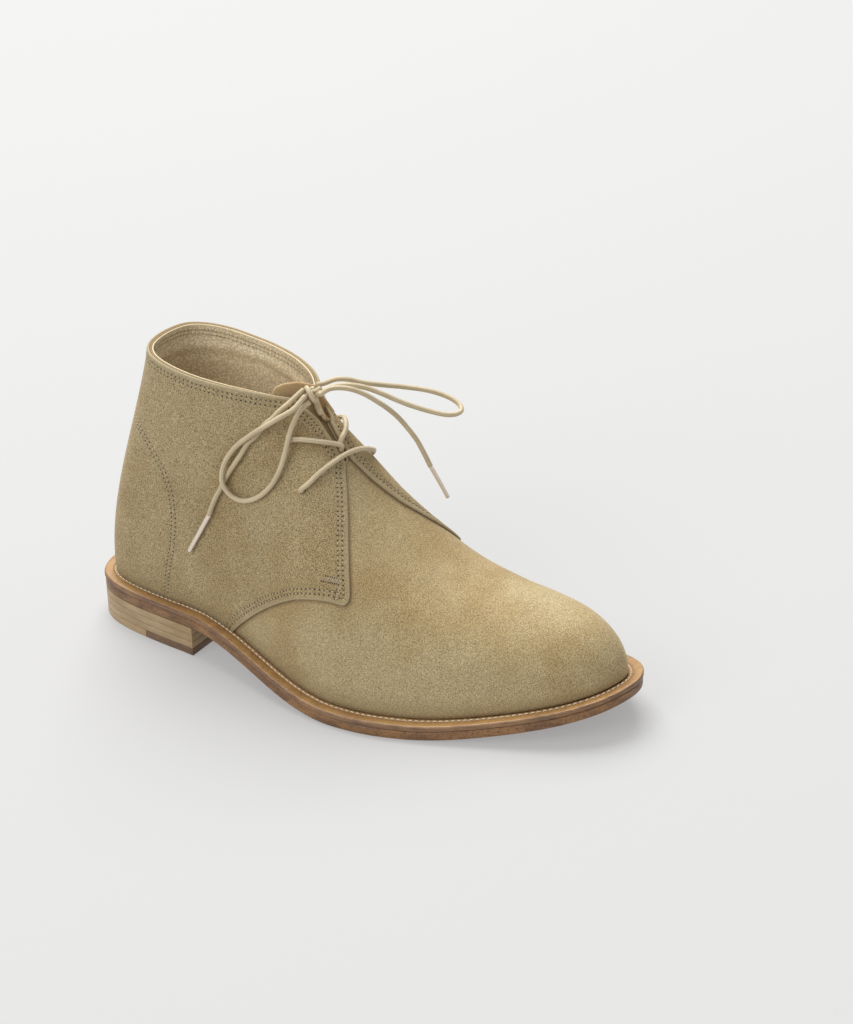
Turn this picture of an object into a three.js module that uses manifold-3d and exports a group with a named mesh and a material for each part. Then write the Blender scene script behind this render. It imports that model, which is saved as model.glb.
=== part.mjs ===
// A suede chukka boot for the right foot, in millimetres: +X to the toe, +Y to the medial side, +Z up.
// The origin is on the floor, under the middle of the boot.
import * as THREE from 'three';
import { mergeVertices } from 'three/addons/utils/BufferGeometryUtils.js';
import Module from 'manifold-3d';

const wasm = await Module();
wasm.setup();

// Driving dimensions

const MID_X = 147.75;          // half of the sole's length: in the tables x is 0 at the back of the heel
const MID_Y = -7;              // the middle of the sole's width in the tables
const HEEL_HEIGHT = 15.5;      // underside of the outsole at the heel seat
const BREAST_X = 73;           // front face of the heel
const TREAD = { start: 168, end: 204 };       // where the forefoot is flat on the floor
const TOE_SPRING = 17;         // height of the outsole's underside at the tip
const OUTSOLE = 4.8;           // thickness
const WELT = 3.0;              // thickness
const WELT_REACH = 6.2;        // how far the welt stands out round the upper
const EDGE_TRIM = 0.35;        // the outsole and heel are trimmed back a little under the welt
const GAP = 0.3;               // between curved pieces
const SEAT = 0.1;              // between flat pieces

const LINING = -3.0;           // inner face of the upper, from the quarters' outer face
const VAMP_STEP = -1.2;        // outer face of the vamp, from the quarters' outer face
const TONGUE = { outer: -3.4, inner: -5.4 };
const INSOLE_TOP = 2.2;        // above the top of the welt

const LIFTS = 3;               // heel lifts above the top piece
const TOP_PIECE = 3.9;         // thickness of the heel's top piece
const TOP_SPLIT_X = 36;        // where its brown front part ends

const LACE = 2.5;              // diameter
const HOLE = 4.6;              // punched lace hole
const STEPS = 2;               // stations between two rows of the last table
const LEVELS = 9;              // levels between the feather line and the top line

// One row for each section along the last. Its foot is on the sole's edge: x, and y on the lateral and
// medial side. Its top is on the collar, where the two y differ, or on the ridge of the instep and vamp,
// where they are one. arch is 0 for an upright wall and 1 for a section that closes over the foot, full is
// its superellipse exponent, and belly is how far it swells outward above the feather line.
const LAST_COLUMNS = ['x', 'lat', 'med', 'topX', 'topZ', 'topLat', 'topMed', 'arch', 'full', 'belly'];
const LAST = [
  [    0,    -5,   -5,    39, 154.5,    -3,   -3,    0,    2,   5],
  [    4,   -20,   10,  41.5, 154.3,   -17,   11,    0,    2, 4.6],
  [   14, -29.5,   20,  48.5,   153, -25.5, 19.5,    0,    2, 3.8],
  [   30,   -35, 26.5,    60,   151, -29.5, 24.5,    0,    2, 2.6],
  [   52, -38.5,   29,    75, 148.5,   -30,   26, 0.05,    2, 1.8],
  [   73,   -41,   29,    90, 146.5,   -28,   25, 0.15,    2, 1.2],
  [   95, -46.5,   27,   105,   144, -22.5, 21.5, 0.35,    2, 0.8],
  [  117,   -53,   28, 117.5,   141, -14.5,   15,  0.6,  1.9, 0.6],
  [  136, -58.5, 32.5, 127.5,   136,    -3,    4, 0.85, 1.85, 0.5],
  [  153,   -62,   37, 136.5, 125.5,   0.5,  0.5,    1, 1.85, 0.5],
  [  170, -63.5, 41.5,   147, 113.5,   1.5,  1.5,    1,  1.9, 0.5],
  [  188,   -62,   45, 158.5,    98,     3,    3,    1,    2, 0.5],
  [  206,   -57,   48,   176,  81.5,     5,    5,    1,  2.1, 0.6],
  [  224,   -50, 49.5,   197,    67,     7,    7,    1,  2.2, 0.8],
  [  242, -41.5, 48.5,   221,  58.5,     9,    9,    1,  2.3,   1],
  [  259,   -33,   45,   243,  55.5,    10,   10,    1,  2.3,   1],
  [  274,   -24,   38,   262,  52.5,  10.5, 10.5,    1,  2.3,   1],
  [  286,   -13, 29.5,   276,  46.5,  10.5, 10.5,    1,  2.2,   1],
  [  293,    -1,   20, 284.5,  38.5,  10.5, 10.5,    1,    2, 0.8],
  [295.5,    10,   10,   288,    31,    10,   10,    1,    2, 0.5],
].map((values) => Object.fromEntries(LAST_COLUMNS.map((name, k) => [name, values[k]])));

// The front and lower edge of each quarter, seen from the side, from the ridge down to the corner and back
// to the welt. The medial quarter reaches further over the ridge than the lateral one.
const LATERAL_EDGE = [
  { x: 146, z: 118 }, { x: 148.3, z: 110.3 }, { x: 153.8, z: 100.4 }, { x: 159.5, z: 89.5 },
  { x: 164.7, z: 78.4 }, { x: 169.4, z: 66.8 }, { x: 171.9, z: 59.2 }, { x: 170, z: 57 },
  { x: 166.6, z: 58.3 }, { x: 161.3, z: 58.8 }, { x: 155, z: 58.3 }, { x: 148.2, z: 57 },
  { x: 142, z: 54.7 }, { x: 134.1, z: 50.4 }, { x: 127.7, z: 46.3 }, { x: 121.1, z: 41.6 },
  { x: 114.5, z: 36.4 }, { x: 107.7, z: 30.3 }, { x: 102, z: 24.9 }, { x: 98.5, z: 20.5 },
];
const MEDIAL_EDGE = [
  { x: 198, z: 118 }, { x: 198, z: 61 }, { x: 182, z: 61 }, { x: 166, z: 60.5 }, { x: 150, z: 57 },
  { x: 134, z: 51 }, { x: 121, z: 43 }, { x: 109, z: 34 }, { x: 99, z: 25 },
];
// The medial quarter's front edge seen from above, from the foot of the throat over the ridge to its corner.
const MEDIAL_FRONT = [
  { x: 146, y: -6.5 }, { x: 151, y: -2.5 }, { x: 160, y: 3 }, { x: 169, y: 8.5 }, { x: 179, y: 18 },
  { x: 186, y: 27 }, { x: 190, y: 36 },
];
const PARTING = -6.5;          // y of the plane between the two quarters

// The throat between the quarters' front edges, seen from the front, from its foot up to the collar.
const THROAT = [
  { z: 111, lat: -8.6, med: -4.4 }, { z: 117, lat: -8.2, med: -3.4 }, { z: 122, lat: -7.2, med: -2.6 },
  { z: 129, lat: -6.5, med: -0.5 }, { z: 137, lat: -9.5, med: 2.5 }, { z: 160, lat: -18, med: 8 },
];

// The punched lace holes, on the quarters' outer face, with the direction out of the leather.
const HOLES = [
  { at: [137.5, -30.5, 103.4], out: [0.2, -0.8, 0.55] },
  { at: [125.5, -21.1, 122.7], out: [0.47, -0.76, 0.45] },
  { at: [138.5, 19.1, 98], out: [0, 0.95, 0.3] },
  { at: [125, 14.9, 118], out: [0.28, 0.93, 0.25] },
];

// The lace. One strand crosses straight from lower hole to lower hole. Two more come out of the upper holes
// from the throat. Two strands rise from the throat into the knot, which holds a loop and an end each side.
const LACING = {
  bar: [
    [137.3, -29.4, 102.6], [137.8, -32.5, 104.4], [140.6, -29.7, 107.4], [142.4, -25.9, 110.1],
    [144.3, -21.2, 112.4], [146, -16.1, 114], [147.6, -10.8, 115.2], [148.9, -5.1, 115.4],
    [149.8, 1.1, 114.4], [150.1, 6.8, 112.2], [149.7, 12.1, 109.5], [146.9, 17.4, 105.8],
    [142.6, 20.3, 101.3], [139.4, 20.9, 98.7], [138.5, 17.8, 97.4],
  ],
  lateralCross: [
    [143.9, -6.3, 115.4], [144.9, -7, 118.2], [143.8, -8.4, 119.4], [141, -11.7, 120.9],
    [137.6, -15.3, 122.4], [133.9, -18.4, 123.5], [130.4, -20.6, 124], [126.6, -22.6, 123.8],
    [125, -20.3, 122.2],
  ],
  medialCross: [
    [142.8, -6, 117.2], [143.2, -4.2, 120.9], [142.1, 0.8, 122.6], [140.3, 4.2, 123.9],
    [136.9, 8.4, 124.4], [133.5, 11.8, 123.2], [129.6, 14.4, 121.1], [126.1, 16.3, 118.7],
    [125, 13.6, 117.6],
  ],
  rise: [[130.5, -8.2, 141.5], [130.3, -5.6, 137.6], [129.8, -3.8, 133.6], [131.4, -3.8, 130.6]],
  lateralLoop: [
    [129.8, -13.7, 143.6], [126.8, -19.5, 138.5], [121.7, -25.1, 134.9], [116.4, -27.9, 131],
    [112.2, -29.7, 128], [107.7, -31.2, 124.4], [102.6, -31.9, 119.9], [98.3, -32.7, 114.9],
    [95.5, -34.2, 109.5], [94.7, -35.9, 104.4], [95.1, -36.6, 99.9], [96.7, -36, 95.9],
    [99.8, -35.6, 93.2], [104.2, -35.7, 92.3], [108.9, -36, 93.3], [114.4, -35.9, 96.1],
    [119.4, -35, 100.5], [123, -33.4, 105.6], [125.3, -31.3, 111.2], [126.5, -29.2, 117],
    [127, -26.9, 122.6], [126.7, -23.6, 127.5], [126.9, -19.5, 132.2], [127.6, -14.4, 136.6],
    [130.8, -11.8, 139.9],
  ],
  medialLoop: [
    [131.2, -5.7, 146.6], [132.4, -1.8, 146], [135.2, 4.1, 146.4], [138.4, 9.3, 145.1],
    [142.4, 15.8, 141.8], [147.8, 25.4, 137.8], [153.8, 35.5, 134], [162.1, 42.2, 131.5],
    [168, 46.2, 129], [173.4, 48.1, 126.7], [177.8, 47.5, 124.8], [180.3, 44.6, 123.7],
    [180, 40.6, 123.4], [176.9, 36.5, 124], [171.2, 32.3, 126], [163.9, 25.6, 130.3], [158.7, 20.9, 134],
    [153.4, 16.4, 138], [148.2, 11.9, 141.5], [143.2, 6.9, 143.9], [139.4, 2.6, 144.8],
    [136.8, -1.1, 144.9], [134.5, -5.5, 143.9],
  ],
  lateralEnd: [
    [126.7, -10.3, 144.9], [125.2, -12.7, 143.1], [122.7, -16.5, 139.9], [119.5, -20.7, 136.4],
    [117, -23.4, 133.1], [114, -25.4, 130.2], [110.1, -28.3, 124.1], [106.5, -29.8, 120.4],
    [103.6, -31.3, 115], [100.4, -32.3, 109.9], [97.1, -33.2, 104.6], [94.5, -33.8, 100.2],
    [92.3, -34.3, 95.3], [89.5, -34.7, 90.3], [87.1, -35.1, 85], [85.1, -35.5, 79.7],
  ],
  medialEnd: [
    [135.1, -9.4, 143.7], [138.4, -6, 146.1], [142.7, -2.4, 146.2], [146.9, 1.2, 144.7],
    [150.6, 5.5, 141.5], [153.8, 10.5, 136.7], [156.9, 15.8, 131.1], [159.8, 20.1, 125.4],
    [163.2, 23.5, 118.7], [166.4, 26.1, 112], [169.2, 27.9, 104.8], [171.6, 29.1, 98.5],
  ],
  lateralTip: [[84.7, -35.5, 79.1], [78.5, -35.8, 68.3], [71.7, -35.8, 56.8]],
  medialTip: [[171.9, 29.3, 97.9], [175, 31.4, 90], [178.5, 33.4, 81.4]],
};
const KNOT = { at: [130.5, -8.8, 143], size: 3.4 };
const TIP = 2.3;               // diameter of a lace tip

// The last

const lerp = THREE.MathUtils.lerp;
const smooth = THREE.MathUtils.smoothstep;

// Height of the outsole's underside along the boot.
function underside(x) {
  const waist = smooth(x, BREAST_X + 2, TREAD.start);
  const toe = Math.max(0, (x - TREAD.end) / (2 * MID_X - TREAD.end));
  return HEEL_HEIGHT * (1 - waist) + TOE_SPRING * toe ** 1.7;
}
const weltTop = (x) => underside(x) + OUTSOLE + WELT;

// A row of the last table at any position t, by a uniform Catmull-Rom curve that turns round both ends.
function row(t) {
  const last = LAST.length - 1;
  const i = Math.min(Math.floor(t), last - 1);
  const at = (k) => {
    const mirrored = k < 0 ? LAST[-k] : k > last ? LAST[2 * last - k] : LAST[k];
    if (k >= 0 && k <= last) return mirrored;
    const { lat, med, topLat, topMed } = mirrored;
    return { ...mirrored, lat: med, med: lat, topLat: topMed, topMed: topLat };
  };
  const [a, b, c, d] = [at(i - 1), at(i), at(i + 1), at(i + 2)];
  const u = t - i;
  const value = {};
  for (const key of Object.keys(b)) {
    const slope = c[key] - a[key];
    const square = 2 * a[key] - 5 * b[key] + 4 * c[key] - d[key];
    const cube = 3 * b[key] - a[key] - 3 * c[key] + d[key];
    value[key] = 0.5 * (2 * b[key] + slope * u + square * u ** 2 + cube * u ** 3);
  }
  return value;
}

// The stations as one closed loop: up the lateral side from heel to toe, and back down the medial side.
const stations = [];
const COUNT = (LAST.length - 1) * STEPS;
for (let i = 0; i <= COUNT; i++) stations.push({ ...row(i / STEPS), side: 'lat' });
for (let i = COUNT - 1; i > 0; i--) stations.push({ ...row(i / STEPS), side: 'med' });
const around = (i) => (i + stations.length) % stations.length;

// The sole's outline moved inward by a distance, with the outward direction at each station.
function outline(inset) {
  return stations.map((_, i) => {
    const [before, here, after] = [around(i - 1), i, around(i + 1)].map((k) => stations[k]);
    const along = new THREE.Vector2(after.x - before.x, after[after.side] - before[before.side]).normalize();
    const out = new THREE.Vector2(along.y, -along.x);
    return { x: here.x - out.x * inset, y: here[here.side] - out.y * inset, out };
  });
}

// A closed solid through rings of points. Each end is closed by a ladder from the lateral to the medial side.
function loft(rings) {
  const size = stations.length;
  const positions = rings.flat().flatMap((p) => [p.x, p.y, p.z]);
  const index = [];
  for (let r = 0; r + 1 < rings.length; r++) {
    for (let i = 0; i < size; i++) {
      const a = r * size + i, b = r * size + around(i + 1);
      index.push(a, b, b + size, a, b + size, a + size);
    }
  }
  const top = (rings.length - 1) * size;
  for (let i = 0; i < COUNT; i++) {
    const a = i, b = i + 1, c = around(-i - 1), d = around(-i);
    index.push(a, c, b, a, d, c, top + a, top + b, top + c, top + a, top + c, top + d);
  }
  const geometry = new THREE.BufferGeometry();
  geometry.setAttribute('position', new THREE.Float32BufferAttribute(positions, 3));
  geometry.setIndex(index);
  return solid(geometry);
}

// A plate of the sole: its outline and the heights of its two faces over the underside.
function plate(inset, low, high, height = underside) {
  const edge = outline(inset);
  return loft([low, high].map((z) => edge.map((p) => ({ x: p.x, y: p.y, z: height(p.x) + z }))));
}

// Rings of the foot form, from the feather line to the top line.
function formRings() {
  const foot = outline(WELT_REACH);
  const rings = [];
  for (let level = 0; level <= LEVELS; level++) {
    const s = level / LEVELS;
    rings.push(stations.map((st, i) => {
      const angle = s * Math.PI / 2;
      const power = 2 / st.full;
      const rise = lerp(s, Math.sin(angle) ** power, st.arch);
      const turn = lerp(s, 1 - Math.max(0, Math.cos(angle)) ** power, st.arch);
      const swell = st.belly * 6.75 * s * (1 - s) ** 2;
      const middle = (st.topLat + st.topMed) / 2;
      const topY = st.side === 'lat' ? Math.min(st.topLat, middle) : Math.max(st.topMed, middle);
      return new THREE.Vector3(
        lerp(foot[i].x, st.topX, rise) + foot[i].out.x * swell,
        lerp(foot[i].y, topY, turn) + foot[i].out.y * swell,
        lerp(weltTop(foot[i].x) + GAP, st.topZ, rise),
      );
    }));
  }
  return rings;
}

// The foot form grown or shrunk along its own normals. rise lifts the open collar, and drop lowers the
// feather line.
function form(offset, rise = 0, drop = 0) {
  const rings = formRings();
  const grown = rings.map((ring, r) => ring.map((point, i) => {
    const along = ring[around(i + 1)].clone().sub(ring[around(i - 1)]);
    const up = rings[Math.min(r + 1, LEVELS)][i].clone().sub(rings[Math.max(r - 1, 0)][i]);
    return along.cross(up).normalize();
  }));
  const moved = rings.map((ring, r) => ring.map((point, i) => {
    const normal = grown[r][i].clone();
    const opposite = around(-i);
    if (r === LEVELS && ring[opposite].distanceTo(point) < 0.5) normal.add(grown[r][opposite]).normalize();
    if (r === 0) normal.setZ(0).normalize();
    return point.clone().addScaledVector(normal, offset);
  }));
  if (rise) {
    moved.push(moved[LEVELS].map((point, i) => {
      const width = stations[i].topMed - stations[i].topLat;
      return point.clone().setZ(point.z + rise * smooth(width, 0.5, 12));
    }));
  }
  if (drop) moved.unshift(moved[0].map((point) => point.clone().setZ(point.z - drop)));
  return loft(moved);
}

// Solids and meshes

// A closed geometry as a solid, with its shared corners merged and its empty triangles dropped.
function solid(geometry) {
  const bare = geometry.clone();
  bare.deleteAttribute('normal');
  bare.deleteAttribute('uv');
  const merged = mergeVertices(bare, 1e-3);
  const kept = [];
  for (let k = 0; k < merged.index.count; k += 3) {
    const [a, b, c] = [0, 1, 2].map((j) => merged.index.getX(k + j));
    if (a !== b && b !== c && c !== a) kept.push(a, b, c);
  }
  const vertProperties = new Float32Array(merged.attributes.position.array);
  return new wasm.Manifold(new wasm.Mesh({ numProp: 3, vertProperties, triVerts: new Uint32Array(kept) }));
}

function geometryOf(body) {
  const mesh = body.getMesh();
  const geometry = new THREE.BufferGeometry();
  geometry.setAttribute('position', new THREE.BufferAttribute(mesh.vertProperties, 3));
  geometry.setIndex(new THREE.BufferAttribute(mesh.triVerts, 1));
  geometry.computeVertexNormals();
  return geometry;
}

function box(minX, maxX, minY, maxY, minZ, maxZ) {
  const geometry = new THREE.BoxGeometry(maxX - minX, maxY - minY, maxZ - minZ);
  return solid(geometry.translate((minX + maxX) / 2, (minY + maxY) / 2, (minZ + maxZ) / 2));
}

// A prism from an outline seen from the side, between two places across the boot.
function sidePrism(points, minY, maxY) {
  const shape = new THREE.Shape(points.map((p) => new THREE.Vector2(p.x, p.z)));
  const geometry = new THREE.ExtrudeGeometry(shape, { depth: maxY - minY, bevelEnabled: false });
  return solid(geometry.rotateX(Math.PI / 2).translate(0, maxY, 0));
}

// A prism from an outline seen from the front, between two places along the boot.
function frontPrism(points, minX, maxX) {
  const shape = new THREE.Shape(points.map((p) => new THREE.Vector2(p.y, p.z)));
  const geometry = new THREE.ExtrudeGeometry(shape, { depth: maxX - minX, bevelEnabled: false });
  const [alongX, alongY, alongZ] = [[1, 0, 0], [0, 1, 0], [0, 0, 1]].map((v) => new THREE.Vector3(...v));
  const turn = new THREE.Matrix4().makeBasis(alongY, alongZ, alongX);
  return solid(geometry.applyMatrix4(turn).translate(minX, 0, 0));
}

// A prism from an outline seen from above, between two heights.
function planPrism(points, minZ, maxZ) {
  const shape = new THREE.Shape(points.map((p) => new THREE.Vector2(p.x, p.y)));
  const geometry = new THREE.ExtrudeGeometry(shape, { depth: maxZ - minZ, bevelEnabled: false });
  return solid(geometry.translate(0, 0, minZ));
}

// A round cord along a route, with flat ends.
function cord(route, diameter, steps) {
  const path = new THREE.CatmullRomCurve3(route.map((p) => new THREE.Vector3(...p)), false, 'centripetal');
  const section = new THREE.Shape();
  for (let k = 0; k < 8; k++) {
    const angle = (k + 0.5) * Math.PI / 4;
    section[k ? 'lineTo' : 'moveTo'](diameter / 2 * Math.cos(angle), diameter / 2 * Math.sin(angle));
  }
  return solid(new THREE.ExtrudeGeometry(section, { steps, extrudePath: path, bevelEnabled: false }));
}

const suede = { color: 0xa9966f, roughness: 0.95 };
const lining = { color: 0xcdbd9b, roughness: 0.8 };
const brownEdge = { color: 0x7a4f2e, roughness: 0.6 };
const tanEdge = { color: 0xb07a3c, roughness: 0.55 };
const natural = { color: 0xb9a67c, roughness: 0.7 };
const cotton = { color: 0xc9b78c, roughness: 0.85 };
const clear = { color: 0xd8cdb4, roughness: 0.3 };

const boot = new THREE.Group();
boot.position.set(-MID_X, -MID_Y, 0);

function add(name, geometry, look) {
  const mesh = new THREE.Mesh(geometry, new THREE.MeshStandardMaterial({ metalness: 0, ...look }));
  mesh.name = name;
  boot.add(mesh);
}

// The sole

function outsole() {
  add('outsole', geometryOf(plate(EDGE_TRIM, 0, OUTSOLE)), brownEdge);
}

// The welt is a ring: the upper stands on its inner half.
function welt() {
  const inside = WELT_REACH - LINING + SEAT;
  const hole = plate(inside, OUTSOLE - 2, OUTSOLE + WELT + 2);
  add('welt', geometryOf(plate(0, OUTSOLE + SEAT, OUTSOLE + WELT).subtract(hole)), tanEdge);
}

// The heel is a stack of lifts under the flat heel seat, cut square at the breast.
function heel() {
  const top = HEEL_HEIGHT - SEAT;
  const lift = (top - TOP_PIECE) / LIFTS;
  const stack = (low, high) => plate(EDGE_TRIM, low, high, () => 0);
  const slice = (low, high, minX, maxX) => stack(low, high).intersect(box(minX, maxX, -80, 80, -1, 30));
  for (let k = 0; k < LIFTS; k++) {
    const low = TOP_PIECE + k * lift;
    add(`heel_lift_${k + 1}`, geometryOf(slice(low + SEAT, low + lift, -10, BREAST_X)), natural);
  }
  add('heel_top_front', geometryOf(slice(0, TOP_PIECE, TOP_SPLIT_X + SEAT, BREAST_X)), brownEdge);
  add('heel_top_rear', geometryOf(slice(0, TOP_PIECE, -10, TOP_SPLIT_X)), natural);
}

// The upper

// The vamp is the whole form a step inside the quarters, and the quarters are cut from the full form.
function upper() {
  const rear = [{ x: 99, z: -20 }, { x: -40, z: -20 }, { x: -40, z: 200 }];
  const behind = (edge) => [...edge, ...rear, { x: edge[0].x, z: 200 }];
  const inside = [...MEDIAL_FRONT, { x: 190, y: 100 }, { x: -40, y: 100 }, { x: -40, y: PARTING }];
  const lateral = sidePrism(behind(LATERAL_EDGE), -100, PARTING);
  const medial = sidePrism(behind(MEDIAL_EDGE), PARTING, 100).intersect(planPrism(inside, -30, 210));
  const edgeOf = (side) => THROAT.map((p) => ({ y: p[side], z: p.z }));
  const throat = [...edgeOf('med'), ...edgeOf('lat').reverse()];
  let shell = form(VAMP_STEP).add(form(0).intersect(lateral.add(medial)))
    .subtract(form(LINING, 12, 6))
    .subtract(frontPrism(throat, 100, 190));
  for (const hole of HOLES) shell = shell.subtract(punch(hole));
  add('upper', geometryOf(shell), suede);
}

function punch({ at, out }) {
  const axis = new THREE.Vector3(...out).normalize();
  const turn = new THREE.Quaternion().setFromUnitVectors(new THREE.Vector3(0, 1, 0), axis);
  return solid(new THREE.CylinderGeometry(HOLE / 2, HOLE / 2, 12, 12).applyQuaternion(turn).translate(...at));
}

// The tongue lies against the lining, under both quarters. It has slid over to the lateral side, where its
// top corner stands just above the collar.
function tongue() {
  const face = [
    { y: -17, z: 80 }, { y: 10, z: 80 }, { y: 14.5, z: 137 }, { y: 8, z: 140 }, { y: 0, z: 142 },
    { y: -8, z: 146 }, { y: -16.5, z: 145.5 }, { y: -20, z: 138 },
  ];
  const sheet = form(TONGUE.outer, 12, 0).subtract(form(TONGUE.inner, 16, 6));
  const shell = sheet.intersect(frontPrism(face, 100, 190));
  add('tongue', geometryOf(shell), suede);
}

function insole() {
  const edge = WELT_REACH - LINING + 2 * GAP;
  add('insole', geometryOf(plate(edge, OUTSOLE + GAP, OUTSOLE + WELT + INSOLE_TOP)), lining);
}

// The lace

function lace() {
  const strand = (route, steps) => cord(LACING[route], LACE, steps);
  add('lace_bar', geometryOf(strand('bar', 28)), cotton);
  add('lace_crossing', geometryOf(strand('lateralCross', 16).add(strand('medialCross', 18))), cotton);
  const knot = solid(new THREE.SphereGeometry(KNOT.size, 12, 8).translate(...KNOT.at));
  add('lace_knot', geometryOf(knot.add(strand('rise', 8))), cotton);
  add('lace_loop_lateral', geometryOf(strand('lateralLoop', 54)), cotton);
  add('lace_loop_medial', geometryOf(strand('medialLoop', 50)), cotton);
  add('lace_end_lateral', geometryOf(strand('lateralEnd', 30)), cotton);
  add('lace_end_medial', geometryOf(strand('medialEnd', 24)), cotton);
  add('lace_tip_lateral', geometryOf(cord(LACING.lateralTip, TIP, 4)), clear);
  add('lace_tip_medial', geometryOf(cord(LACING.medialTip, TIP, 4)), clear);
}

outsole();
welt();
heel();
upper();
tongue();
insole();
lace();

export default boot;
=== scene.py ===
# A suede chukka boot for the right foot, empty, on a pale floor: a leather sole with a stacked heel, an
# all-round welt, quarters lapped over the vamp, and a round lace tied in a bow. Lengths in the tables are
# millimetres from the back of the heel, with +X to the toe, +Y to the medial side and +Z up.
import math

import bpy
import numpy as np
from mathutils import Matrix, Vector
from mathutils.kdtree import KDTree


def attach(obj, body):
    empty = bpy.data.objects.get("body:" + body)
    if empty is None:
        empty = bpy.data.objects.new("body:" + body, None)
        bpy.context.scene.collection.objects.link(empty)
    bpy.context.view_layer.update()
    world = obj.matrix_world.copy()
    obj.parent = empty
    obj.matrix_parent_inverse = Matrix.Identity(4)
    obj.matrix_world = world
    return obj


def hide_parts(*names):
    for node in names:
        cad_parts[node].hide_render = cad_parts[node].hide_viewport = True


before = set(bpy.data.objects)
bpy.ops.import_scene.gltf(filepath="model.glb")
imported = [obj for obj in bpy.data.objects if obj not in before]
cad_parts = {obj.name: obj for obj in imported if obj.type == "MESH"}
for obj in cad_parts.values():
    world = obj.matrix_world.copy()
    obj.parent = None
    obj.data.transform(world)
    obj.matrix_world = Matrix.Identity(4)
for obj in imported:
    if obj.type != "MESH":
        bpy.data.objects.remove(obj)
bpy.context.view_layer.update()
bpy.ops.object.select_all(action="DESELECT")


# The studio. A seamless pale floor that glows a little, as a lit paper sweep does, a large soft box above and
# behind the heel, and a weaker one beside the camera, so that the shadow falls softly before the toe. The
# camera looks down on the lateral side.
ORIGIN = np.array([147.75, -7.0, 0.0])
MM = 0.001
VIEW_AZIMUTH, VIEW_ELEVATION, VIEW_ROLL = math.radians(32), math.radians(27), math.radians(-1.5)
VIEW_DISTANCE = 1.25
VIEW_AIM = (150, 0, 60)
VIEW_SIDESTEP, VIEW_LIFT = 0.0308, 0.0189
LENS = 90.5
FLOOR_SIZE = 12.0
FLOOR_COLOUR, FLOOR_GLOW = (0.29, 0.288, 0.284), (0.31, 0.31, 0.309, 1)
SKY_COLOUR, SKY_STRENGTH = (0.97, 0.985, 1.0, 1), 0.55
ABOVE_SIZE, ABOVE_POWER = 2.9, 215
FRONT_SIZE, FRONT_POWER = 2.6, 62


def in_frame(points):
    """Millimetres from the back of the heel, as metres in the frame."""
    return (np.asarray(points, float) - ORIGIN) * MM


def dress(name, colour, roughness, **sockets):
    """A new material with its plain values on the shader's own sockets, and its node tree."""
    made = bpy.data.materials.new(name)
    made.use_nodes = True
    shader = made.node_tree.nodes["Principled BSDF"]
    shader.inputs["Base Color"].default_value = (*colour, 1)
    shader.inputs["Roughness"].default_value = roughness
    for socket, value in sockets.items():
        shader.inputs[socket.replace("_", " ")].default_value = value
    return made, made.node_tree, shader


def soft_box(name, place, size, power):
    """A square area light that faces the boot."""
    light = bpy.data.lights.new(name, "AREA")
    light.size = size
    light.energy = power
    box = bpy.data.objects.new(name, light)
    bpy.context.collection.objects.link(box)
    box.location = place
    box.rotation_euler = (Vector(place) - Vector((0, 0, 0.05))).to_track_quat("Z", "Y").to_euler()


floor_material = dress("studio_floor", FLOOR_COLOUR, 0.9, Specular_IOR_Level=0.1,
                       Emission_Color=FLOOR_GLOW, Emission_Strength=1.0)[0]
bpy.ops.mesh.primitive_plane_add(size=FLOOR_SIZE, location=(0, 0, 0))
floor = bpy.context.active_object
floor.name = "floor"
floor.data.materials.append(floor_material)
bpy.ops.object.select_all(action="DESELECT")

soft_box("soft_box_above", (-1.3, 1.35, 3.4), ABOVE_SIZE, ABOVE_POWER)
soft_box("soft_box_front", (-0.9, -3.4, 2.3), FRONT_SIZE, FRONT_POWER)
world = bpy.data.worlds.new("studio")
world.use_nodes = True
sky = world.node_tree.nodes["Background"]
sky.inputs["Color"].default_value = SKY_COLOUR
sky.inputs["Strength"].default_value = SKY_STRENGTH
bpy.context.scene.world = world
bpy.context.scene.view_settings.view_transform = "Standard"

back = Vector((
    math.sin(VIEW_AZIMUTH) * math.cos(VIEW_ELEVATION),
    -math.cos(VIEW_AZIMUTH) * math.cos(VIEW_ELEVATION),
    math.sin(VIEW_ELEVATION),
))
level_right = Vector((math.cos(VIEW_AZIMUTH), math.sin(VIEW_AZIMUTH), 0))
level_up = back.cross(level_right)
right = level_right * math.cos(VIEW_ROLL) + level_up * math.sin(VIEW_ROLL)
up = level_up * math.cos(VIEW_ROLL) - level_right * math.sin(VIEW_ROLL)
camera = bpy.data.objects.new("camera", bpy.data.cameras.new("camera"))
bpy.context.collection.objects.link(camera)
place = Vector(in_frame(VIEW_AIM)) + back * VIEW_DISTANCE + right * VIEW_SIDESTEP + up * VIEW_LIFT
camera.matrix_world = Matrix.Translation(place) @ Matrix((right, up, back)).transposed().to_4x4()
camera.data.lens = LENS
camera.data.clip_end = 50
bpy.context.scene.camera = camera


# The lace. A round waxed cotton cord, 2.5 mm thick. One strand crosses straight from lower hole to lower
# hole, two more come out of the throat to the upper holes, and one rises from the throat into the bow's knot.
# Each loop and each end is a cord of its own, and the ends are sealed in clear tips.
LACE = 2.5
TIP = 2.4
CORD_SIDES = 14
CORD_STEP, KNOT_STEP, TIP_STEP = 0.9, 0.6, 2.0
TIP_TAPER = 0.12
BAR = [
    (137.3, -29.4, 102.6), (137.8, -32.5, 104.4), (140.6, -29.7, 107.4), (142.4, -25.9, 110.1),
    (144.3, -21.2, 112.4), (146, -16.1, 114), (147.6, -10.8, 115.2), (148.9, -5.1, 115.4),
    (149.8, 1.1, 114.4), (150.1, 6.8, 112.2), (149.7, 12.1, 109.5), (146.9, 17.4, 105.8),
    (142.6, 20.3, 101.3), (139.4, 20.9, 98.7), (138.5, 17.8, 97.4),
]
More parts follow.
